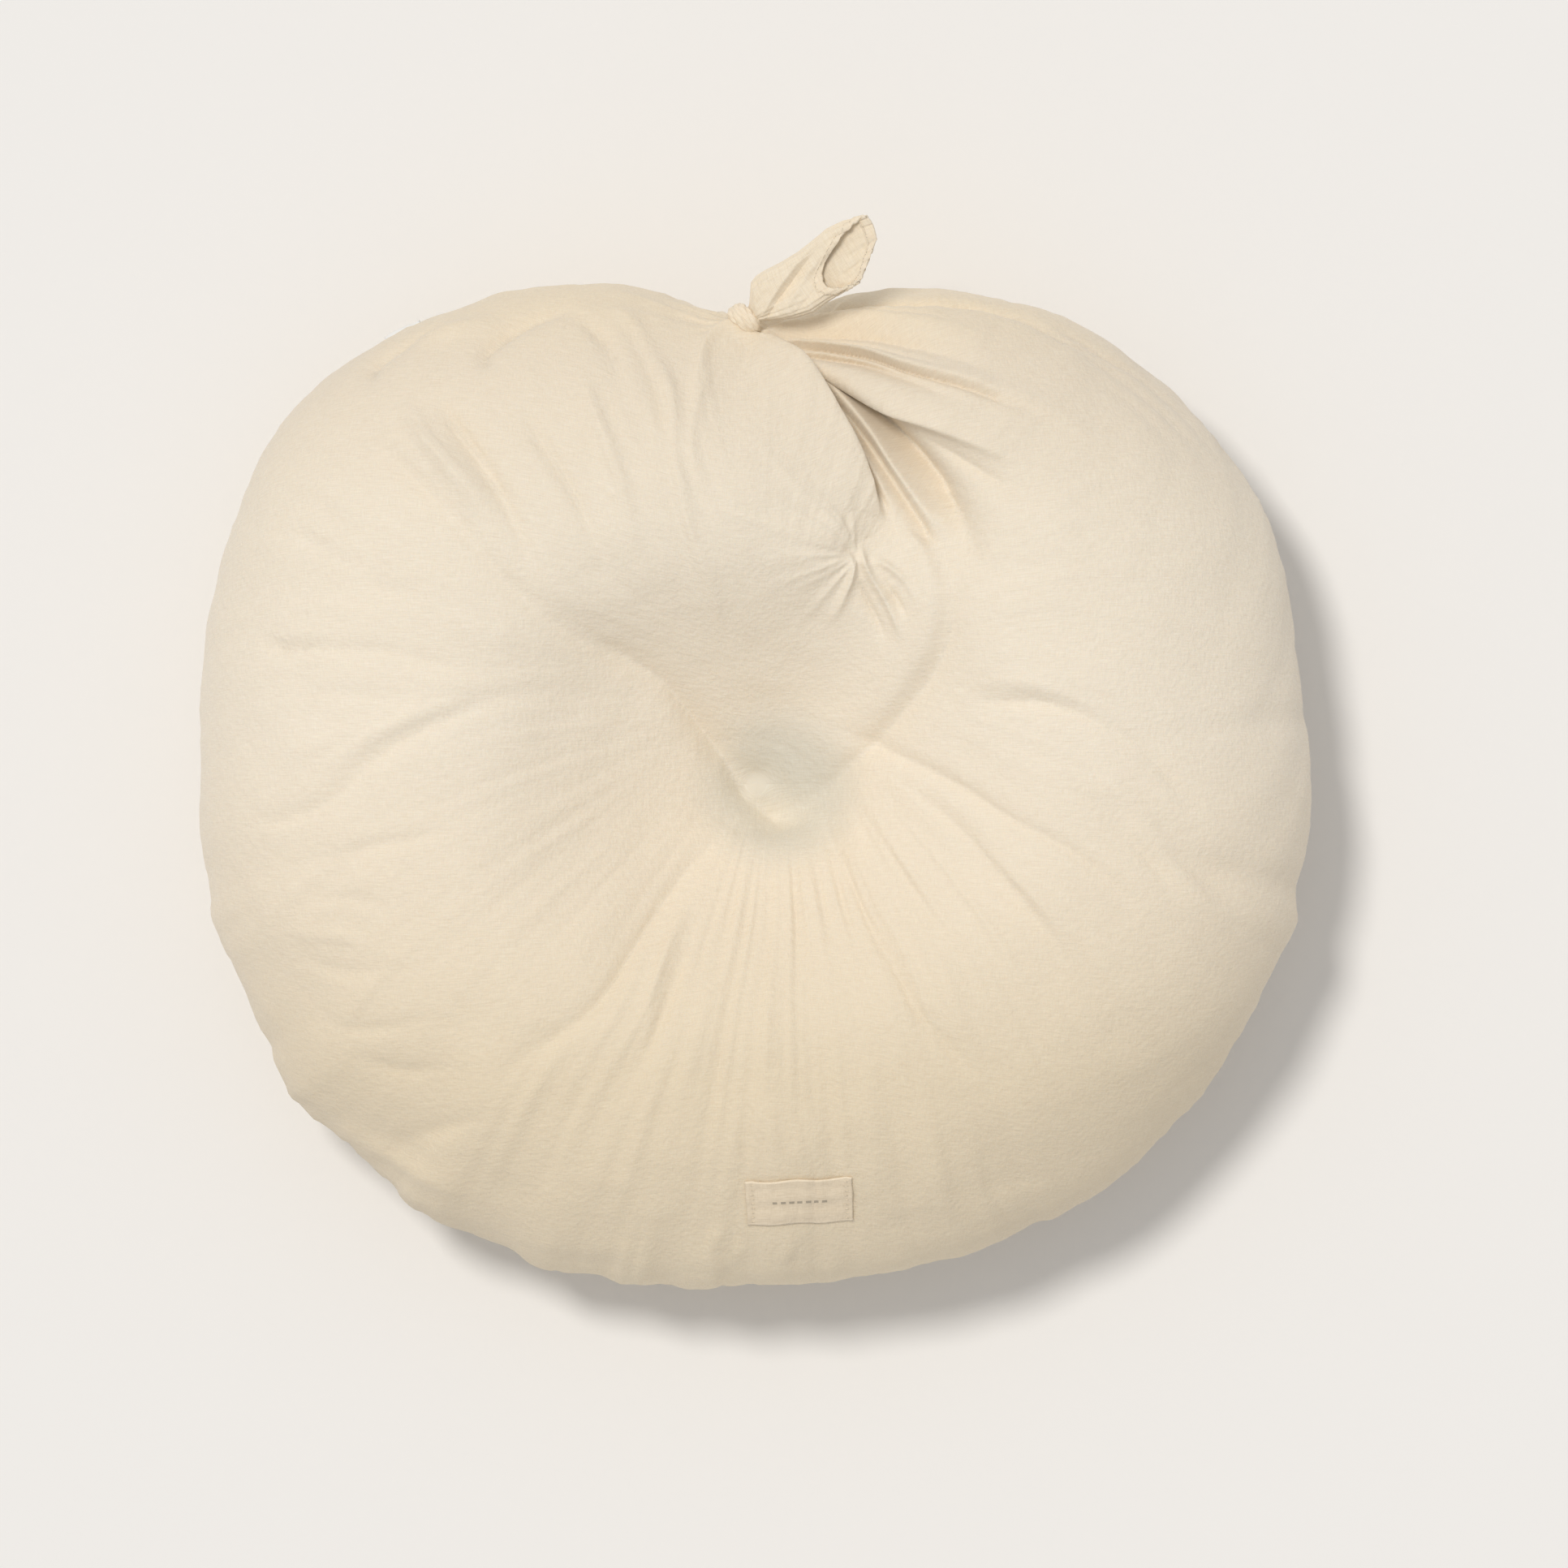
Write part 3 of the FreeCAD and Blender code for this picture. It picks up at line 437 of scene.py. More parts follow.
def line_through(knots, count=28):
    """Even samples of a smooth line through a fold's points, with its heights and widths."""
    knots = np.array(knots, float)
    steps = np.hypot(*np.diff(knots[:, :2], axis=0).T)
    at = np.concatenate([[0], np.cumsum(steps)])
    slopes = np.gradient(knots, at, axis=0)
    wanted = np.linspace(0, at[-1], count)
    cell = np.clip(np.searchsorted(at, wanted, side="right") - 1, 0, len(at) - 2)
    span = (at[cell + 1] - at[cell])[:, None]
    share = (wanted - at[cell])[:, None] / span
    one, two = 3 * share**2 - 2 * share**3, share**3 - 2 * share**2 + share
    three = share**3 - share**2
    between = knots[cell] * (1 - one) + knots[cell + 1] * one
    return between + span * (slopes[cell] * two + slopes[cell + 1] * three)


def fold_at(x, y, skew, knots):
    """The height that one fold adds at places in plan, and the level way to its line's left."""
    line = line_through(knots) * MM
    reach = 3 * line[:, 3].max() * max(1, skew)
    low, high = line[:, :2].min(axis=0) - reach, line[:, :2].max(axis=0) + reach
    near = np.flatnonzero((x > low[0]) & (x < high[0]) & (y > low[1]) & (y < high[1]))
    px, py = x[near], y[near]
    best = np.full(px.shape, 1e9)
    side, height, width = np.zeros(px.shape), np.zeros(px.shape), np.ones(px.shape)
    left_x, left_y = np.zeros(px.shape), np.zeros(px.shape)
    for start, end in zip(line[:-1], line[1:]):
        way = end[:2] - start[:2]
        square = max(way @ way, 1e-12)
        share = np.clip(((px - start[0]) * way[0] + (py - start[1]) * way[1]) / square, 0, 1)
        dx, dy = px - start[0] - share * way[0], py - start[1] - share * way[1]
        away = np.hypot(dx, dy)
        closer = away < best
        best[closer] = away[closer]
        side[closer] = (way[1] * dx - way[0] * dy)[closer]
        height[closer] = (start[2] + (end[2] - start[2]) * share)[closer]
        width[closer] = (start[3] + (end[3] - start[3]) * share)[closer]
        left_x[closer], left_y[closer] = np.array([-way[1], way[0]]) / math.sqrt(square)
    wide = width * np.where(side > 0, skew, 1)
    added = height * np.exp(-np.abs(best / wide) ** np.where(height < 0, 1.2, 1.7))
    return near, added, left_x, left_y


def folds(x, y):
    """The height of every fold together, and the level shift of the crests that lean."""
    height, shift = np.zeros(x.shape), np.zeros(x.shape + (2,))
    for skew, lean, knots in PLEATS:
        near, added, left_x, left_y = fold_at(x, y, skew, knots)
        added = added * np.where(added < 0, GROOVE_GAIN, RIDGE_GAIN)
        height[near] += added
        shift[near, 0] += lean * added * left_x
        shift[near, 1] += lean * added * left_y
    for knots in CREASES:
        near, added, _, _ = fold_at(x, y, 1, knots)
        height[near] += added * CREASE_GAIN
    for knots in gather_pleats():
        near, added, _, _ = fold_at(x, y, 0.8, knots)
        height[near] += added
    return height, shift


RIBS_FROM, RIB_HEIGHT = (14 * MM, 50 * MM), 1.5 * MM


def ribs(points, arc):
    """Fine drawn ribs that run out from the hollow and droop on their way, strongest at the front."""
    x, y = points[:, 0] - RIBS_FROM[0], points[:, 1] - RIBS_FROM[1]
    radius = np.hypot(x, y)
    bearing = np.arctan2(y, x)
    degrees = np.degrees(bearing)
    front = bell(turned(degrees, 270), 40)
    left = bell(turned(degrees, 185), 48)
    right = bell(turned(degrees, 335), 42)
    back = bell(turned(degrees, 75), 50)
    droop = (1.5 * bell(turned(degrees, 345), 50) - 0.8 * bell(turned(degrees, 195), 40)) * radius
    share = np.mod(bearing + droop, 2 * math.pi) / (2 * math.pi)
    sway = 0.6 * noise(share * 12, arc / 0.09, 3, 12)
    fine = noise(share * 300 + 2 * sway, arc / 0.10, 11, 300)
    middle = noise(share * 160 + sway, arc / 0.12 + 3, 12, 160)
    broad = noise(share * 64 + sway, arc / 0.14 + 7, 13, 64)
    amount = fine * (0.1 + 0.9 * front + 0.25 * right + 0.25 * left + 0.3 * back)
    amount += middle * (0.2 + 1.2 * front + 0.5 * left + 0.5 * right + 0.3 * back)
    amount += broad * (0.45 + 0.9 * front + 1.2 * left + 0.8 * right + 0.4 * back)
    patchy = 0.65 + 0.5 * noise(points[:, 0] / 0.07 + 31, points[:, 1] / 0.07 + 31, 14)
    return amount * patchy * smooth((radius - 0.05) / 0.12) * RIB_HEIGHT


def knot_pleats(points):
    """Deep pleats that all run into the knot, round the sides of the neck that the pleats' table leaves."""
    away = points - NECK_TIP
    distance = np.linalg.norm(away, axis=-1)
    turn = np.mod(np.arctan2(away[:, 2], away[:, 0]), 2 * math.pi) / (2 * math.pi)
    pleats = noise(turn * 34, distance / 0.09, 21, 34) + 0.5 * noise(turn * 70, distance / 0.07, 22, 70)
    lower = smooth((KNOT[2] + 0.02 - points[:, 2]) / 0.05)
    return pleats * smooth(distance / 0.03) * np.exp(-distance / 0.085) * lower * 7 * MM


def seam_puckers(bearing, arc):
    """The seam's groove round the widest part, with puckers where the thread draws it in."""
    away = arc - SEAM_ARC
    turn = bearing / (2 * math.pi)
    pucker = noise(turn * 150, away * 0 + 0.5, 31, 150) + 0.7 * noise(turn * 330, away * 0 + 1.5, 32, 330)
    lower_left = 1 + 1.2 * bell(turned(np.degrees(bearing), 225), 28)
    drawn = pucker * lower_left * 1.4 * MM * np.exp(-np.abs(away) / (20 * MM))
    return drawn - 1.8 * MM * bell(away, 2.4 * MM)


def wall_creases(points, bearing, arc):
    """Slack creases down the lower wall, between the seam and the underside."""
    turn = bearing / (2 * math.pi)
    slant = turn * 60 + 0.9 * noise(turn * 9, arc / 0.1, 35, 9) + (SEAM_ARC - arc) * 9
    creases = noise(slant, arc / 0.12, 36, 60) + 0.6 * noise(slant * 2.2, arc / 0.08, 37)
    down = np.clip((SEAM_ARC - arc) / (SEAM_ARC - FLAT_ARC), 0, 1)
    return creases * smooth(down * 5) * smooth((1 - down) * 3) * 2.6 * MM


def unevenness(points):
    """The slack body's broad dents and the cloth's small ones."""
    x, y, z = points[:, 0], points[:, 1], points[:, 2]
    broad = noise(x / 0.11 + 9, y / 0.11 + z / 0.09 + 9, 41)
    small = noise(x / 0.034 + 20, y / 0.034 + z / 0.03 + 20, 42)
    tiny = noise(x / 0.013 + 50, y / 0.013 + z / 0.012 + 50, 43)
    return (2.4 * broad + 0.8 * small + 0.22 * tiny) * MM


# how far the gather and the hollow's pit sink in, and how wide they are
GATHER_SINK, GATHER_SPREAD = 2.5 * MM, 15 * MM
PIT_SINK, PIT_AT = 33 * MM, (10 * MM, -16 * MM)
PIT_SIDE, PIT_BACK, PIT_FRONT = 36 * MM, 48 * MM, 17 * MM

grid_row, grid_column, sack_faces, CORNERS = lattice()
bearing, arc = bearing_at(grid_column), arc_at(grid_row)
bare = bare_skin(grid_row, grid_column)
outward = outward_at(grid_row, grid_column)
on_top = smooth((arc - SEAM_ARC) / 0.02)
height, shift = folds(bare[:, 0], bare[:, 1])
height, shift = height * on_top, shift * on_top[:, None]
drawn_in = bell(np.hypot(bare[:, 0] - GATHER[0], bare[:, 1] - GATHER[1]), GATHER_SPREAD) * on_top
behind = bare[:, 1] - PIT_AT[1]
away = np.hypot((bare[:, 0] - PIT_AT[0]) / PIT_SIDE, behind / np.where(behind > 0, PIT_BACK, PIT_FRONT))
pit = np.exp(-(away**1.3)) * on_top
height -= GATHER_SINK * drawn_in + PIT_SINK * pit
height += ribs(bare, arc) * (1 - 0.6 * drawn_in)
height += knot_pleats(bare) + seam_puckers(bearing, arc) + wall_creases(bare, bearing, arc) + unevenness(bare)
clear_of_floor = smooth(bare[:, 2] / 0.03)
height = height * clear_of_floor
skin = bare + outward * height[:, None]
skin[:, :2] += shift
skin[:, 2] = np.maximum(skin[:, 2], 0)


def grid_faces(row_count, columns, closed=True, ring=False):
    """Quads between neighbouring rows of a grid: closed joins its columns round, ring its rows too."""
    faces = []
    for row in range(row_count if ring else row_count - 1):
        above = (row + 1) % row_count * columns
        for column in range(columns if closed else columns - 1):
            after = (column + 1) % columns
            faces.append((row * columns + column, row * columns + after, above + after, above + column))
    return faces


def cap_faces(edge, centre, upward):
    """Triangles from a ring of vertices to one vertex at its centre."""
    pairs = zip(edge, np.roll(edge, -1))
    return [(centre, here, after) if upward else (centre, after, here) for here, after in pairs]


def mesh_object(name, points, faces, material, smooth_shaded=True):
    mesh = bpy.data.meshes.new(name)
    mesh.from_pydata(np.asarray(points, float).reshape(-1, 3).tolist(), [], faces)
    mesh.validate()
    mesh.update()
    if smooth_shaded:
        mesh.shade_smooth()
    made = bpy.data.objects.new(name, mesh)
    bpy.context.scene.collection.objects.link(made)
    mesh.materials.append(material)
    return made


def weave_map(made, across, along):
    """Stores the cloth's own flat coordinates, in metres, for the weave."""
    layer = made.data.attributes.new("cloth", "FLOAT_VECTOR", "POINT")
    flat = np.zeros((len(across), 3), np.float32)
    flat[:, 0], flat[:, 1] = across, along
    layer.data.foreach_set("vector", flat.ravel())


def fixed(made, slot, *nodes):
    """A piece that moves with the cushion and stands for nodes of the CAD."""
    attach(made, "cushion")
    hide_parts(*nodes)


# ---------------------------------------------------------------- materials


def node(tree, kind, inputs=None, **settings):
    made = tree.nodes.new(kind)
    for name, value in settings.items():
        setattr(made, name, value)
    for name, value in (inputs or {}).items():
        if isinstance(value, bpy.types.NodeSocket):
            tree.links.new(value, made.inputs[name])
        else:
            made.inputs[name].default_value = value
    return made


def blank_material(name, rough):
    material = bpy.data.materials.new(name)
    material.use_nodes = True
    tree = material.node_tree
    shader = tree.nodes["Principled BSDF"]
    shader.inputs["Roughness"].default_value = rough
    return material, tree, shader


def noise_node(tree, source, factors, detail):
    place = node(tree, "ShaderNodeMapping", {"Vector": source, "Scale": factors}).outputs["Vector"]
    return node(tree, "ShaderNodeTexNoise", {"Vector": place, "Detail": detail}).outputs[0]


def maths(tree, operation, first, second=0.0):
    made = node(tree, "ShaderNodeMath", operation=operation)
    for socket, value in zip(made.inputs, (first, second)):
        if isinstance(value, bpy.types.NodeSocket):
            tree.links.new(value, socket)
        else:
            socket.default_value = value
    return made.outputs[0]


def mixed(tree, factor, first, second):
    made = node(tree, "ShaderNodeMix", data_type="RGBA")
    tree.links.new(factor, made.inputs["Factor"])
    for name, value in ((6, first), (7, second)):
        if isinstance(value, bpy.types.NodeSocket):
            tree.links.new(value, made.inputs[name])
        else:
            made.inputs[name].default_value = (*value, 1)
    return made.outputs[2]


def bumped(tree, shader, relief, strength, distance):
    bump = node(tree, "ShaderNodeBump", {"Height": relief, "Strength": strength, "Distance": distance})
    tree.links.new(bump.outputs[0], shader.inputs["Normal"])


def cloth_material(name, light, dark, pitch=0.45 * MM, slub=1.0, attribute=True, sheer=0.0, crumple=1.0):
    """Plain-woven cotton: threads, uneven slubs along both threads, faint blotches and a soft sheen."""
    material, tree, shader = blank_material(name, 0.92)
    if attribute:
        flat = node(tree, "ShaderNodeAttribute", attribute_name="cloth").outputs["Vector"]
    else:
        flat = node(tree, "ShaderNodeTexCoord").outputs["Object"]
    along = noise_node(tree, flat, (620, 22, 60), 2.0)
    across = noise_node(tree, flat, (22, 620, 60), 2.0)
    thicker = noise_node(tree, flat, (9, 300, 60), 1.0)
    streaks = maths(tree, "ADD", along, maths(tree, "MULTIPLY", across, 1.3))
    streaks = maths(tree, "ADD", streaks, maths(tree, "MULTIPLY", thicker, 0.7))
    streaks = maths(tree, "MULTIPLY", maths(tree, "SUBTRACT", streaks, 1.5), 1.25 * slub)
    blotch = maths(tree, "MULTIPLY", noise_node(tree, flat, (14, 14, 14), 3.0), 0.16)
    tone = maths(tree, "ADD", maths(tree, "ADD", streaks, blotch), 0.47)
    factor = node(tree, "ShaderNodeClamp", {"Value": tone}).outputs[0]
    tree.links.new(mixed(tree, factor, dark, light), shader.inputs["Base Color"])
    shader.inputs["Specular IOR Level"].default_value = 0.2
    shader.inputs["Sheen Weight"].default_value = 0.2
    shader.inputs["Sheen Roughness"].default_value = 0.5
    if sheer:
        shader.inputs["Subsurface Weight"].default_value = sheer
        shader.inputs["Subsurface Radius"].default_value = (1.0, 0.8, 0.55)
        shader.inputs["Subsurface Scale"].default_value = 3 * MM
    threads = 0.0
    for direction in ("X", "Y"):
        wave = node(tree, "ShaderNodeTexWave", {"Vector": flat, "Scale": 1 / pitch / 20, "Distortion": 0.6},
                    wave_type="BANDS", bands_direction=direction)
        threads = maths(tree, "ADD", wave.outputs[1], threads)
    relief = maths(tree, "ADD", maths(tree, "MULTIPLY", threads, 0.2), maths(tree, "MULTIPLY", streaks, 0.8))
    crinkle = maths(tree, "MULTIPLY", noise_node(tree, flat, (46, 46, 46), 6.0), 9.0 * crumple)
    bumped(tree, shader, maths(tree, "ADD", relief, crinkle), 0.45, 0.25 * MM)
    return material


def thread_material(name, colour):
    """Twisted cotton thread."""
    material, tree, shader = blank_material(name, 0.8)
    place = node(tree, "ShaderNodeTexCoord").outputs["Object"]
    twist = node(tree, "ShaderNodeTexWave", {"Vector": place, "Scale": 260.0, "Distortion": 1.5},
                 wave_type="BANDS", bands_direction="DIAGONAL").outputs[1]
    shade = tuple(c * 0.72 for c in colour)
    tree.links.new(mixed(tree, twist, shade, colour), shader.inputs["Base Color"])
    bumped(tree, shader, twist, 0.5, 0.1 * MM)
    return material


def label_material(name, light, dark, ink, height):
    """Heavier cotton tape with pale selvedges and a plain printed row of dashes."""
    material = cloth_material(name, light, dark, pitch=0.7 * MM, slub=1.2)
    tree = material.node_tree
    shader = tree.nodes["Principled BSDF"]
    flat = node(tree, "ShaderNodeAttribute", attribute_name="cloth").outputs["Vector"]
    parts = node(tree, "ShaderNodeSeparateXYZ", {"Vector": flat})
    across, up = parts.outputs[0], maths(tree, "ABSOLUTE", parts.outputs[1])
    count, pitch = 7, 5.6 * MM
    step = maths(tree, "FRACT", maths(tree, "ADD", maths(tree, "DIVIDE", across, pitch), 0.5))
    in_dash = maths(tree, "LESS_THAN", maths(tree, "ABSOLUTE", maths(tree, "SUBTRACT", step, 0.5)), 0.3)
    in_row = maths(tree, "LESS_THAN", up, 0.9 * MM)
    in_band = maths(tree, "LESS_THAN", maths(tree, "ABSOLUTE", across), count * pitch / 2)
    worn = maths(tree, "MULTIPLY", noise_node(tree, flat, (700, 700, 1), 2.0), 1.25)
    printed = maths(tree, "MULTIPLY", maths(tree, "MULTIPLY", in_dash, in_row), in_band)
    edge = maths(tree, "MULTIPLY", maths(tree, "GREATER_THAN", up, height / 2 - 1.1 * MM), 0.6)
    cloth = shader.inputs["Base Color"].links[0].from_socket
    pale = mixed(tree, edge, cloth, tuple(min(1, c * 1.12) for c in light))
    with_print = mixed(tree, maths(tree, "MULTIPLY", printed, worn), pale, ink)
    tree.links.new(with_print, shader.inputs["Base Color"])
    return material


def grained_material(name, colour, rough, metallic=0.0):
    """Smooth plastic or cast metal with a fine grain."""
    material, tree, shader = blank_material(name, rough)
    place = node(tree, "ShaderNodeTexCoord").outputs["Object"]
    grain = noise_node(tree, place, (900, 900, 900), 3.0)
    tree.links.new(mixed(tree, grain, tuple(c * 0.9 for c in colour), colour), shader.inputs["Base Color"])
    shader.inputs["Metallic"].default_value = metallic
    bumped(tree, shader, grain, 0.2, 0.05 * MM)
    return material


def bead_material(name, colour):
    """Loose expanded beads, about 3 mm across."""
    material, tree, shader = blank_material(name, 0.6)
    place = node(tree, "ShaderNodeTexCoord").outputs["Object"]
    bead = node(tree, "ShaderNodeTexVoronoi", {"Vector": place, "Scale": 330.0}).outputs[0]
    # painted shade: the beads' colour darkens towards the gaps between them
    gap_shade = node(tree, "ShaderNodeClamp", {"Value": maths(tree, "MULTIPLY", bead, 1.4)}).outputs[0]
    tree.links.new(mixed(tree, gap_shade, colour, tuple(c * 0.75 for c in colour)), shader.inputs["Base Color"])
    bumped(tree, shader, bead, 0.8, -1.5 * MM)
    return material


def floor_material(name, colour):
    material, tree, shader = blank_material(name, 1.0)
    place = node(tree, "ShaderNodeTexCoord").outputs["Object"]
    grain = noise_node(tree, place, (3, 3, 3), 2.0)
    tree.links.new(mixed(tree, grain, tuple(c * 0.995 for c in colour), colour), shader.inputs["Base Color"])
    shader.inputs["Specular IOR Level"].default_value = 0.0
    return material


# painted shade on the cotton from the front rim to the back one, darker and warmer towards both rims:
# distance behind the middle in mm, then colour
PAINTED_SHADE_TINTS = [
    (-345, (1.0, 0.96, 0.86)), (-300, (0.925, 0.885, 0.80)), (-200, (0.915, 0.875, 0.79)),
    (-80, (0.975, 0.955, 0.92)), (40, (1.0, 1.0, 1.0)), (180, (0.975, 0.975, 0.97)),
    (290, (0.92, 0.90, 0.87)), (370, (0.96, 0.91, 0.80)),
]
# the hollow's middle, and the grey of the painted shade where the hollow is deepest
HOLLOW_MIDDLE, HOLLOW_SHADE_GREY = (16 * MM, -2 * MM, CROWN - HOLLOW_DEPTH), (0.81, 0.86, 0.90)


def with_painted_shade(material):
    """Paints shade into the cotton's colour: darker and warmer towards the front and back rims, and grey
    where the hollow is deepest.
    """
    tree = material.node_tree
    shader = tree.nodes["Principled BSDF"]
    place = node(tree, "ShaderNodeTexCoord").outputs["Object"]
    # a ramp of painted shade from the front rim to the back one
    front, back = PAINTED_SHADE_TINTS[0][0], PAINTED_SHADE_TINTS[-1][0]
    behind = node(tree, "ShaderNodeSeparateXYZ", {"Vector": place}).outputs[1]
    share = maths(tree, "DIVIDE", maths(tree, "SUBTRACT", behind, front * MM), (back - front) * MM)
    ramp = node(tree, "ShaderNodeValToRGB", {"Fac": share})
    stops = ramp.color_ramp.elements
    for at, colour in PAINTED_SHADE_TINTS[1:-1]:
        stops.new((at - front) / (back - front)).color = (*colour, 1)
    stops[0].color, stops[-1].color = (*PAINTED_SHADE_TINTS[0][1], 1), (*PAINTED_SHADE_TINTS[-1][1], 1)
    # painted shade: the cotton greys within 70 mm of the hollow's middle, fully within 20 mm
    away = node(tree, "ShaderNodeVectorMath", {0: place, 1: HOLLOW_MIDDLE}, operation="DISTANCE").outputs[1]
    reach = {"Value": away, "From Min": 70 * MM, "From Max": 20 * MM}
    deep = node(tree, "ShaderNodeMapRange", reach, interpolation_type="SMOOTHSTEP").outputs[0]
    painted_shade_colour = mixed(tree, deep, ramp.outputs[0], HOLLOW_SHADE_GREY)
    cloth = shader.inputs["Base Color"].links[0].from_socket
    both = node(tree, "ShaderNodeMix", {"Factor": 1.0}, data_type="RGBA", blend_type="MULTIPLY")
    tree.links.new(cloth, both.inputs[6])
    tree.links.new(painted_shade_colour, both.inputs[7])
    tree.links.new(both.outputs[2], shader.inputs["Base Color"])
    return material


# the cover's cotton, with painted shade towards its front and back rims and in the hollow
cotton = with_painted_shade(cloth_material("cream_cotton", (0.915, 0.828, 0.69), (0.81, 0.708, 0.568), sheer=0.1))
neck_cotton = cloth_material("gathered_cotton", (0.915, 0.805, 0.64), (0.79, 0.66, 0.49), sheer=0.1)
LABEL_SIZE = (72 * MM, 30 * MM)
label_cotton = label_material(
    "label_cotton", (0.86, 0.735, 0.56), (0.75, 0.62, 0.45), (0.22, 0.19, 0.15), LABEL_SIZE[1]
)
tape_cotton = cloth_material("tape_cotton", (0.86, 0.84, 0.78), (0.76, 0.73, 0.66), attribute=False)
lining = cloth_material("lining_cloth", (0.88, 0.86, 0.80), (0.80, 0.77, 0.70), attribute=False)
care_cloth = cloth_material("care_tape", (0.92, 0.91, 0.88), (0.84, 0.83, 0.80), pitch=0.25 * MM, slub=0.4)
thread = thread_material("sewing_thread", (0.80, 0.70, 0.54))
beads = bead_material("expanded_beads", (0.92, 0.92, 0.90))
nylon = grained_material("zip_nylon", (0.80, 0.77, 0.68), 0.45)
zinc = grained_material("slider_zinc", (0.55, 0.54, 0.52), 0.35, 1.0)


# ---------------------------------------------------------------- the sack


def sack():
    """The whole cover as one closed skin."""
    under, inside = CORNERS[0], CORNERS[-1]
    points = np.vstack([skin, skin[under].mean(axis=0), skin[inside].mean(axis=0)])
    faces = sack_faces + cap_faces(under, len(skin), False) + cap_faces(inside, len(skin) + 1, True)
    made = mesh_object("sack", points, faces, cotton)
    way = bare[:, :2] / np.hypot(bare[:, 0], bare[:, 1])[:, None]
    flat = np.vstack([way * (profile_length[-1] - arc)[:, None], [(0, 0), (0, 0)]])
    weave_map(made, flat[:, 0], flat[:, 1])
    fixed(made, "cotton_cover", "cover_top_panel", "cover_base_panel", "neck_gather")
    return made


sack_object = sack()
surface = BVHTree.FromObject(sack_object, bpy.context.evaluated_depsgraph_get())


def on_sack(right, back):
    """The sack's surface point and normal straight below a point in plan."""
    hit, normal, _, _ = surface.ray_cast(Vector((right, back, 1)), Vector((0, 0, -1)))
    return np.array(hit), np.array(normal)


def seam_band(name, section, material, slot, node_name):
    """A closed band that runs inside the seam, its section a loop of (lift, depth under the skin)."""
    edge = CORNERS[BASE_ROWS]
    points = [
        skin[edge] - outward[edge] * depth * MM + np.array([0, 0, lift * MM])
        for lift, depth in section
    ]
    made = mesh_object(name, points, grid_faces(len(section), COLUMNS, ring=True), material)
    fixed(made, slot, node_name)
    return made


def seam_allowance():
    """The cover's two raw edges, folded down inside the seam and held by its thread."""
    round_thread = [(0.4, 3.6), (0, 4.0), (-0.4, 3.6), (0, 3.2)]
    folded_edges = [(1, 1.4), (-9, 1.6), (-9, 2.6), (1, 2.4)]
    stitching = seam_band("seam_thread", round_thread, thread, "sewing_thread", "cover_seam_thread")
    band = seam_band("seam_allowance", folded_edges, cotton, "cotton_cover", "cover_seam_allowance")
    weave_map(band, np.tile(np.arange(COLUMNS) * 4 * MM, 4), np.repeat([0, 10 * MM, 10 * MM, 0], COLUMNS))


seam_allowance()


# ---------------------------------------------------------------- label and its stitches


def strip(name, points, thickness, material, flat):
    """A closed thin cloth from a grid of points: thickened along its normals, with its edges closed."""
    rows_, columns_ = points.shape[:2]
    normal = np.cross(np.gradient(points, axis=1), np.gradient(points, axis=0))
    normal /= np.maximum(np.linalg.norm(normal, axis=2, keepdims=True), 1e-12)
    total = rows_ * columns_
    sheet_faces = grid_faces(rows_, columns_, closed=False)
    faces = sheet_faces + [tuple(n + total for n in reversed(face)) for face in sheet_faces]
    rim = list(range(columns_))
    rim += [row * columns_ + columns_ - 1 for row in range(1, rows_)]
    rim += [(rows_ - 1) * columns_ + n for n in range(columns_ - 2, -1, -1)]
    rim += [row * columns_ for row in range(rows_ - 2, 0, -1)]
    faces += [(after, here, here + total, after + total) for here, after in zip(rim, rim[1:] + rim[:1])]
    half = normal * thickness / 2
    made = mesh_object(name, np.stack([points + half, points - half]), faces, material)
    flat = np.vstack([flat.reshape(-1, 2)] * 2)
    weave_map(made, flat[:, 0], flat[:, 1])
    return made


def laid_grid(width, height, columns_, rows_):
    """Flat coordinates of a small rectangle of cloth, centred on zero."""
    up, across = np.meshgrid(np.linspace(-0.5, 0.5, rows_), np.linspace(-0.5, 0.5, columns_), indexing="ij")
    return np.stack([across * width, up * height], axis=2)


label_low, label_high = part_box("label_patch")
LABEL_AT = ((label_low[0] + label_high[0]) / 2, (label_low[1] + label_high[1]) / 2)
LABEL_TILT = math.radians(2.6)


def label_place(across, up, lift):
    """A point of the label's flat coordinates, laid on the sack."""
    right = LABEL_AT[0] + across * math.cos(LABEL_TILT) - up * math.sin(LABEL_TILT)
    back = LABEL_AT[1] + across * math.sin(LABEL_TILT) + up * math.cos(LABEL_TILT)
    at, normal = on_sack(right, back)
    return at + normal * lift


def label():
    flat = laid_grid(*LABEL_SIZE, 61, 27)
    points = np.zeros(flat.shape[:2] + (3,))
    for place in np.ndindex(flat.shape[:2]):
        across, up = flat[place]
        slack = 0.5 * MM * math.sin(across * 190 + 2) * abs(up) / (LABEL_SIZE[1] / 2)
        bow = 0.35 * MM * math.sin(up * 520)
        edge = LABEL_SIZE[0] / 2 - abs(across)
        held = 1 - math.exp(-(((edge - 4 * MM) / (2 * MM)) ** 2))
        points[place] = label_place(across, up + slack, 0.9 * MM + (bow + 0.5 * MM) * held)
    made = strip("label", points, 0.7 * MM, label_cotton, flat)
    fixed(made, "label_cotton", "label_patch")
    # it lies on a slope, so its cloth is longer than it looks from above
    label_threads()


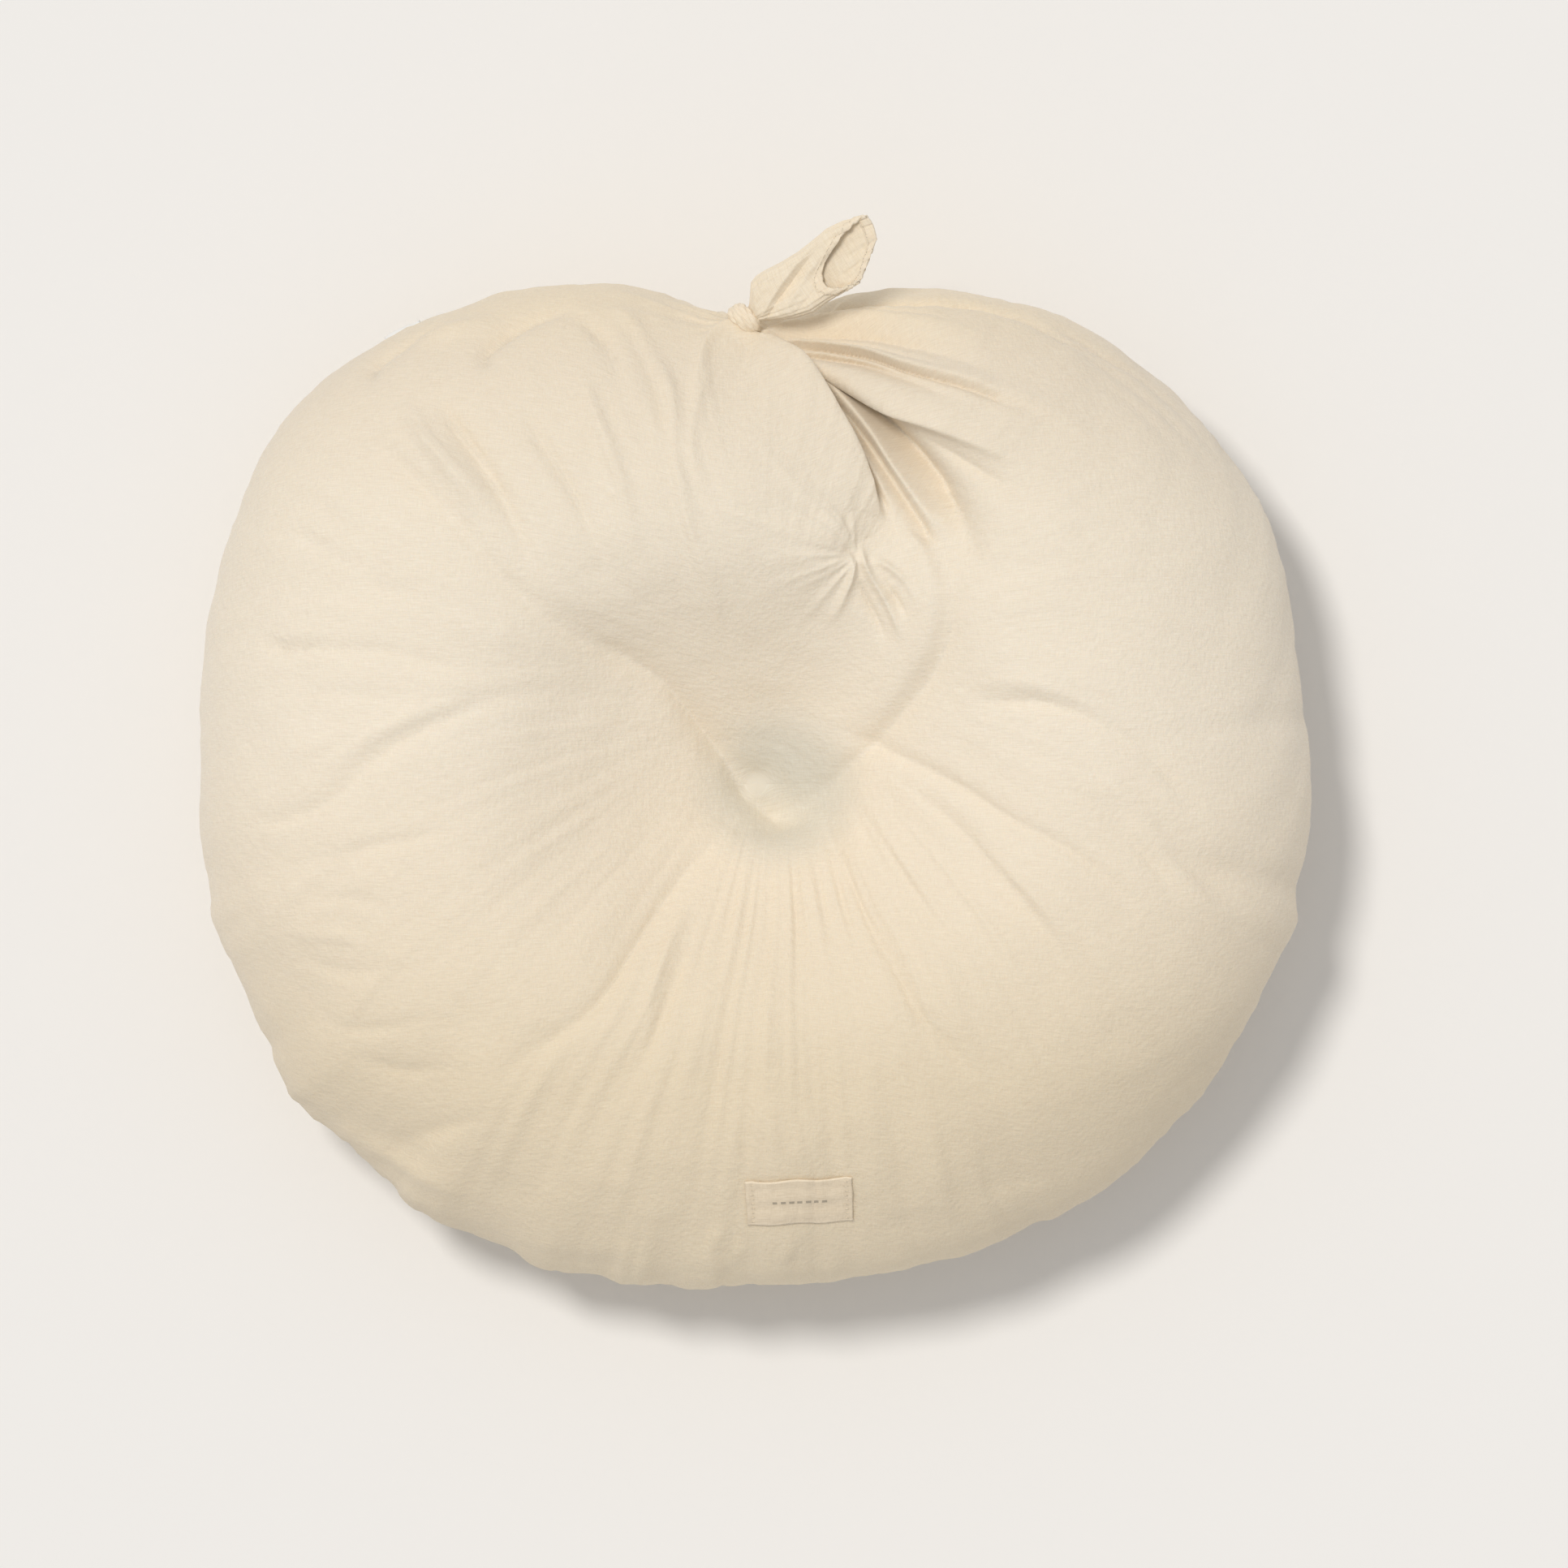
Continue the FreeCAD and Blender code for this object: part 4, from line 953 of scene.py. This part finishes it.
def capsule(start, end, radius, sides=8, rings=6):
    """Points and faces of a short rounded rod."""
    way = (end - start) / np.linalg.norm(end - start)
    side = np.cross(way, [0.0, 0.0, 1.0])
    side /= max(np.linalg.norm(side), 1e-9)
    up = np.cross(side, way)
    points = [start - way * radius * 0.6]
    for share in np.linspace(0, 1, rings):
        swell = radius * math.sqrt(max(0.08, 1 - (2 * share - 1) ** 4))
        for turn in np.linspace(0, 2 * math.pi, sides, endpoint=False):
            around = side * math.cos(turn) + up * math.sin(turn)
            points.append(start + (end - start) * share + around * swell)
    points.append(end + way * radius * 0.6)
    faces = [tuple(n + 1 for n in face) for face in grid_faces(rings, sides)]
    first, last = np.arange(sides) + 1, np.arange(sides) + 1 + (rings - 1) * sides
    faces += cap_faces(first, 0, False) + cap_faces(last, len(points) - 1, True)
    return points, faces


def stitches(name, ends, radius, material):
    """Many short stitches as one piece."""
    points, faces = [], []
    for start, end in ends:
        more, theirs = capsule(np.array(start), np.array(end), radius)
        faces += [tuple(n + len(points) for n in face) for face in theirs]
        points += more
    return mesh_object(name, points, faces, material)


def label_threads():
    """Straight stitches across both short sides, as on a hand-fed label."""
    ends = []
    count, pitch = 9, 3.1 * MM
    for side in (-1, 1):
        for number in range(count):
            up = (number - count // 2) * pitch
            inner = side * (LABEL_SIZE[0] / 2 - 5.2 * MM - 0.5 * MM * (number % 2))
            outer = side * (LABEL_SIZE[0] / 2 - 2.6 * MM)
            ends.append((label_place(inner, up, 1.5 * MM), label_place(outer, up, 1.5 * MM)))
    made = stitches("label_threads", ends, 0.32 * MM, thread)
    fixed(made, "sewing_thread", "label_stitches")
    return made


label()


def stay_tape():
    """The short tape sewn inside the cover under the gather."""
    low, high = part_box("gather_stay_tape")
    width, tall = (max(high[n] - low[n], 10 * MM) for n in range(2))
    middle = [(low[n] + high[n]) / 2 for n in range(2)]
    flat = laid_grid(width, tall, 30, 14)
    points = np.zeros(flat.shape[:2] + (3,))
    for place in np.ndindex(flat.shape[:2]):
        at, _ = on_sack(middle[0] + flat[place][0], middle[1] + flat[place][1])
        points[place] = at - np.array([0, 0, 3.2 * MM])
    # a flat tape bridges the gather's small folds: halfway from the cloth above it to its mean height
    above = np.minimum.accumulate(points[:, :, 2], axis=0)
    points[:, :, 2] = above * 0.5 + points[:, :, 2].mean() * 0.5 - 2 * MM
    made = strip("stay_tape", points, 0.8 * MM, tape_cotton, flat)
    fixed(made, "label_cotton", "gather_stay_tape")


stay_tape()


# ---------------------------------------------------------------- knot and loose end


def tail_point(along, side, up):
    """A point in the loose end's own frame, measured from its fold."""
    return FOLD + TAIL_WAY * along + TAIL_SIDE * side + TAIL_UP * up


def knot():
    """The turn of twisted cloth that is pulled tight round the neck."""
    around, about = 160, 72
    turn, bend = np.meshgrid(
        np.linspace(0, 2 * math.pi, around, endpoint=False),
        np.linspace(0, 2 * math.pi, about, endpoint=False),
        indexing="ij",
    )
    twist = 7 * bend + 4 * turn + 0.8 * np.sin(turn)
    flute = 0.86 + 0.2 * np.abs(np.sin(twist / 2)) ** 0.6 + 0.04 * np.sin(9 * bend - 5 * turn)
    wide = 6.6 * MM * (1 + 0.12 * np.sin(turn + 1)) * flute * np.sin(bend)
    deep = 8 * MM + 4.2 * MM * flute * np.cos(bend)
    lean = 3.5 * MM * np.sin(turn - 0.6)
    ways = [np.cos(turn) * deep, np.sin(turn) * deep]
    points = tail_point(-22.5 * MM, 2 * MM, 0) + sum(
        reach[..., None] * way for reach, way in zip([wide + lean, *ways], (TAIL_WAY, TAIL_SIDE, TAIL_UP))
    )
    made = mesh_object("knot", points, grid_faces(around, about, ring=True), neck_cotton)
    i, k = np.divmod(np.arange(around * about), about)
    weave_map(made, i * 0.5 * MM, k * 0.5 * MM)
    fixed(made, "neck_cotton", "knot_collar")


# the loose end's half width on either side and its half height, in mm, at stations along it from its fold
TAIL_STATIONS = [-19, -13, -8, -4, 2, 10, 23, 37, 50, 62, 75, 92]
TAIL_LEFT = [4, 9, 15, 20, 22, 22, 21, 21, 22.5, 24, 22.5, 17]
TAIL_RIGHT = [4, 5, 7, 9, 12, 15, 18.5, 17.5, 18, 18, 15, 10]
TAIL_HIGH = [4, 6.5, 9, 10, 10.5, 10.5, 10, 9, 8.5, 8, 7, 5]
# how far the cloth reaches at bearings round the mouth, from the right-hand side over the top
MOUTH_TURN = [0, 12, 25, 40, 58, 75, 90, 104, 116, 128, 142, 165, 200, 235, 270, 310, 335, 360]
MOUTH_REACH = [61, 58, 53, 47.5, 43, 41.5, 43, 49, 59, 70, 79.5, 88, 91, 91, 88, 75, 66, 61]
# soft folds of the loose end's upper wall, as the pleats' table gives them
TAIL_PLEATS = [
    (0.5, [(2.5, 317, 0, 1.6), (9, 328, 2.0, 2.2), (16, 339, 2.6, 3), (24, 350, 2.6, 3.6), (31, 359, 2, 4),
           (39, 367, 0, 4)]),
    (1.5, [(5, 315, -1, 1.2), (13, 328, -2.8, 1.8), (21, 339, -3.4, 2.4), (29, 350, -3, 3),
           (37, 360, -1.6, 3.4), (44, 368, 0, 4)]),
    (0.8, [(18, 321, 0, 2.4), (26, 333, 1.6, 3), (36, 349, 1.8, 3.6), (46, 361, 1.6, 4), (58, 373, 1.4, 4),
           (68, 382, 0, 4)]),
    (1, [(24, 319, 0, 2.4), (33, 329, -2, 2.6), (40, 339, -1.6, 2.8), (46, 350, 0, 3)]),
    (0.7, [(50, 361, 0, 2), (57, 366, -3, 2.2), (65, 370.5, -3.6, 2.4), (73, 376, -2, 2.2),
           (80, 383, 0, 2)]),
    (1, [(2, 330, 0, 3), (6, 342, 1.4, 3), (16, 351, 1.2, 3), (26, 357, 0, 3)]),
]
# the cloth's own length from the knot to the rim, and the width of the hem at its rim
TAIL_LENGTH, HEM_WIDTH = 105 * MM, 8 * MM
MOUTH_COLUMNS, TAIL_ROWS = 280, 150


def mouth_reach(turn):
    return np.interp(np.degrees(turn), MOUTH_TURN, MOUTH_REACH) * MM


def tail_surface(turn, share):
    """Points of the loose end's cloth: turn round it, and share of the way to its rim."""
    start = TAIL_STATIONS[0] * MM
    along = start + (mouth_reach(turn) - start) * share
    left, right, high = (np.interp(along / MM, TAIL_STATIONS, table) * MM
                         for table in (TAIL_LEFT, TAIL_RIGHT, TAIL_HIGH))
    crease = 0.05 * np.sin(turn * 9 + 2.5 * share) * (1 - share) + 0.02 * np.sin(turn * 21 + 4 * share)
    side = -np.where(np.cos(turn) < 0, left, right) * np.cos(turn) * (1 + crease)
    pressed = bell(np.degrees(turn) - 98, 44) * smooth((share - 0.3) / 0.7)
    flattened = np.where(np.sin(turn) < 0, 0.6 - 0.4 * smooth(share * 1.6), 1 - 0.95 * pressed)
    up = high * np.sin(turn) * (1 + crease) * flattened
    crumple = noise(np.degrees(turn) / 9, share * 6, 51, 40) * smooth((share - 0.55) / 0.45)
    points = tail_point(along[..., None], 0, 0) + side[..., None] * TAIL_SIDE
    lift = up + 0.9 * MM * crumple + 3 * MM * share**2 * np.sin(turn + 0.6)
    points = points + lift[..., None] * TAIL_UP + 0.5 * MM * crumple[..., None] * TAIL_WAY
    upper = smooth(np.sin(turn) * 2.2)
    for skew, knots in TAIL_PLEATS:
        near, added, _, _ = fold_at(points[..., 0].ravel(), points[..., 1].ravel(), skew, knots)
        pleat = np.zeros(upper.size)
        pleat[near] = added
        points = points + (pleat.reshape(upper.shape) * upper)[..., None] * TAIL_UP
    return points


def grid_normals(points):
    """Outward normals of a grid that closes round its columns."""
    round_it = np.roll(points, -1, axis=1) - np.roll(points, 1, axis=1)
    normal = np.cross(round_it, np.gradient(points, axis=0))
    return normal / np.maximum(np.linalg.norm(normal, axis=2, keepdims=True), 1e-12)


def tail():
    """The sack's open mouth past the knot: one layer of cloth with a turned hem."""
    turns = np.linspace(0, 2 * math.pi, MOUTH_COLUMNS, endpoint=False)
    share, turn = np.meshgrid(np.linspace(0, 1, TAIL_ROWS) ** 0.9, turns, indexing="ij")
    points = tail_surface(turn, share)
    reach = mouth_reach(turn) - TAIL_STATIONS[0] * MM
    hem = smooth((HEM_WIDTH - (1 - share) * reach) / (0.8 * MM))
    half = grid_normals(points) * ((0.35 + 0.75 * hem) * MM)[..., None]
    total = TAIL_ROWS * MOUTH_COLUMNS
    sheet_faces = grid_faces(TAIL_ROWS, MOUTH_COLUMNS)
    faces = sheet_faces + [tuple(n + total for n in reversed(face)) for face in sheet_faces]
    rim = total - MOUTH_COLUMNS
    for column in range(MOUTH_COLUMNS):
        after = (column + 1) % MOUTH_COLUMNS
        faces.append((rim + column, rim + after, rim + after + total, rim + column + total))
        faces.append((after, column, column + total, after + total))
    made = mesh_object("loose_end", np.stack([points + half, points - half]), faces, neck_cotton)
    weave_map(made, np.tile((turn * 16 * MM).ravel(), 2), np.tile((share * reach).ravel(), 2))
    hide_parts("tail_throat", "tail_sleeve", "tail_hem")
    hem_threads()
    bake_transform(made)


def hem_threads():
    """The stitches that hold the hem, on the outside and the inside of the cloth."""
    count = 64
    turn = 2 * math.pi * (np.repeat(np.arange(count), 2) + np.tile([0.1, 0.78], count)) / count
    share = 1 - (HEM_WIDTH - 1.6 * MM) / (mouth_reach(turn) - TAIL_STATIONS[0] * MM)
    here = tail_surface(turn, share)
    beside = tail_surface(np.mod(turn + 0.02, 2 * math.pi), share) - here
    before = here - tail_surface(turn, share - 0.02)
    normal = np.cross(beside, before)
    normal /= np.linalg.norm(normal, axis=1, keepdims=True)
    ends = []
    for lift in (1.25 * MM, -1.25 * MM):
        raised = here + normal * lift
        ends += list(zip(raised[::2], raised[1::2]))
    made = stitches("hem_threads", ends, 0.28 * MM, thread)
    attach(made, "loose_end")
    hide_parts("hem_stitches")
    return made


knot()
tail()


# ---------------------------------------------------------------- what the sack holds

INNER = CORNERS[::3, ::4]
SEAM_ROW = BASE_ROWS // 3


def inner_skin(inset):
    """The sack's skin without its folds, kept inside even its deepest ones."""
    dent = np.minimum(height[INNER], 0)
    for _ in range(3):
        dent = np.minimum(dent, np.minimum(np.roll(dent, 1, axis=1), np.roll(dent, -1, axis=1)))
        dent[1:-1] = np.minimum(dent[1:-1], np.minimum(dent[:-2], dent[2:]))
    for _ in range(2):
        dent = (dent * 2 + np.roll(dent, 1, axis=1) + np.roll(dent, -1, axis=1)) / 4
    return bare[INNER] + outward[INNER] * (dent - inset)[:, :, None]


def inner_cushion():
    """The lining's two panels and the beads inside it."""
    shell = inner_skin(5 * MM)
    columns = INNER.shape[1]
    for name, part, node_name in (
        ("lining_top", shell[SEAM_ROW:], "liner_top_panel"),
        ("lining_base", shell[: SEAM_ROW + 1], "liner_base_panel"),
    ):
        made = mesh_object(name, part, grid_faces(len(part), columns), lining)
        fixed(made, "liner_cloth", node_name)
    core = inner_skin(9 * MM)
    core[:, :, 2] = np.maximum(core[:, :, 2], 11 * MM)
    count = core.shape[0] * columns
    points = np.vstack([core.reshape(-1, 3), core[0].mean(axis=0), core[-1].mean(axis=0)])
    faces = grid_faces(len(core), columns) + cap_faces(np.arange(columns), count, False)
    faces += cap_faces(np.arange(count - columns, count), count + 1, True)
    made = mesh_object("bead_filling", points, faces, beads)
    fixed(made, "bead_filling", "bead_fill")


inner_cushion()


def care_tape():
    """A narrow care label that hangs from the side seam."""
    low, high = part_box("care_label")
    middle = np.array([(low[n] + high[n]) / 2 for n in range(2)])
    out_way = middle / np.linalg.norm(middle)
    side_way = np.array([-out_way[1], out_way[0]])
    width, drop = 26 * MM, 38 * MM
    flat = laid_grid(width, -drop, 14, 20)
    points = np.zeros(flat.shape[:2] + (3,))
    for place in np.ndindex(flat.shape[:2]):
        across, down = flat[place][0], drop / 2 - flat[place][1]
        start = Vector((*(out_way * 0.7 + side_way * across), SEAM - down))
        hit, normal, _, _ = surface.ray_cast(start, Vector((*(-out_way), 0)))
        lift = (0.9 + 2.2 * math.sin(math.pi * min(1, down / drop)) + 0.5 * math.sin(across * 260)) * MM
        points[place] = np.array(hit) + np.array(normal) * lift
    made = strip("care_tape", points, 0.5 * MM, care_cloth, flat)
    fixed(made, "care_tape", "care_label")


care_tape()

CARRIED = {
    "zip_tape_front": tape_cotton,
    "zip_tape_rear": tape_cotton,
    "zip_teeth_front": nylon,
    "zip_teeth_rear": nylon,
    "zip_stop_left": nylon,
    "zip_stop_right": nylon,
    "zip_slider": zinc,
}
for name, material in CARRIED.items():
    for place in frame["nodes"][name].material_slots:
        place.material = material


# ---------------------------------------------------------------- floor, light and camera


def floor():
    """A wide pale floor, a hair below the cushion's underside."""
    reach = 30
    corners = [(-reach, -reach, 0), (reach, -reach, 0), (reach, reach, 0), (-reach, reach, 0)]
    pale = floor_material("pale_floor", (0.875, 0.865, 0.855))
    made = mesh_object("floor", corners, [(0, 1, 2, 3)], pale, smooth_shaded=False)
    made.location.z = -0.2 * MM
    return made


def sun_from(name, way, energy, degrees, colour):
    """A soft sun that shines from a direction."""
    sun = bpy.data.lights.new(name, "SUN")
    sun.energy = energy
    sun.angle = math.radians(degrees)
    sun.color = colour
    made = bpy.data.objects.new(name, sun)
    made.rotation_euler = Vector(way).to_track_quat("Z", "Y").to_euler()
    bpy.context.scene.collection.objects.link(made)
    return made


def light(floor_object):
    """A soft key from the upper left for the cushion, a crisper one for the floor, and a pale surround."""
    cushion_sun = sun_from("key", (-0.20, 0.28, 0.94), 1.67, 18, (1.0, 0.985, 0.96))
    floor_sun = sun_from("floor_key", (-0.25, 0.25, 0.94), 1.57, 10, (1.0, 0.965, 0.91))
    for sun, state in ((cushion_sun, "EXCLUDE"), (floor_sun, "INCLUDE")):
        lit = bpy.data.collections.new(sun.name)
        lit.objects.link(floor_object)
        lit.collection_objects[0].light_linking.link_state = state
        sun.light_linking.receiver_collection = lit
    world = bpy.data.worlds.new("surround")
    bpy.context.scene.world = world
    world.use_nodes = True
    background = world.node_tree.nodes["Background"]
    background.inputs["Color"].default_value = (1.0, 0.998, 0.995, 1)
    background.inputs["Strength"].default_value = 0.52


def camera():
    """Straight above, with +Y up the picture, far enough away to see the shape almost without depth."""
    lens, sensor, across, right = 600, 36, 1.0757, 18.9 * MM
    made = bpy.data.cameras.new("above")
    made.lens, made.sensor_width = lens, sensor
    view = bpy.data.objects.new("above", made)
    view.location = (right, 0, SEAM + across * lens / sensor)
    bpy.context.scene.collection.objects.link(view)
    bpy.context.scene.camera = view


light(floor())
camera()
bpy.context.scene.view_settings.view_transform = "Standard"
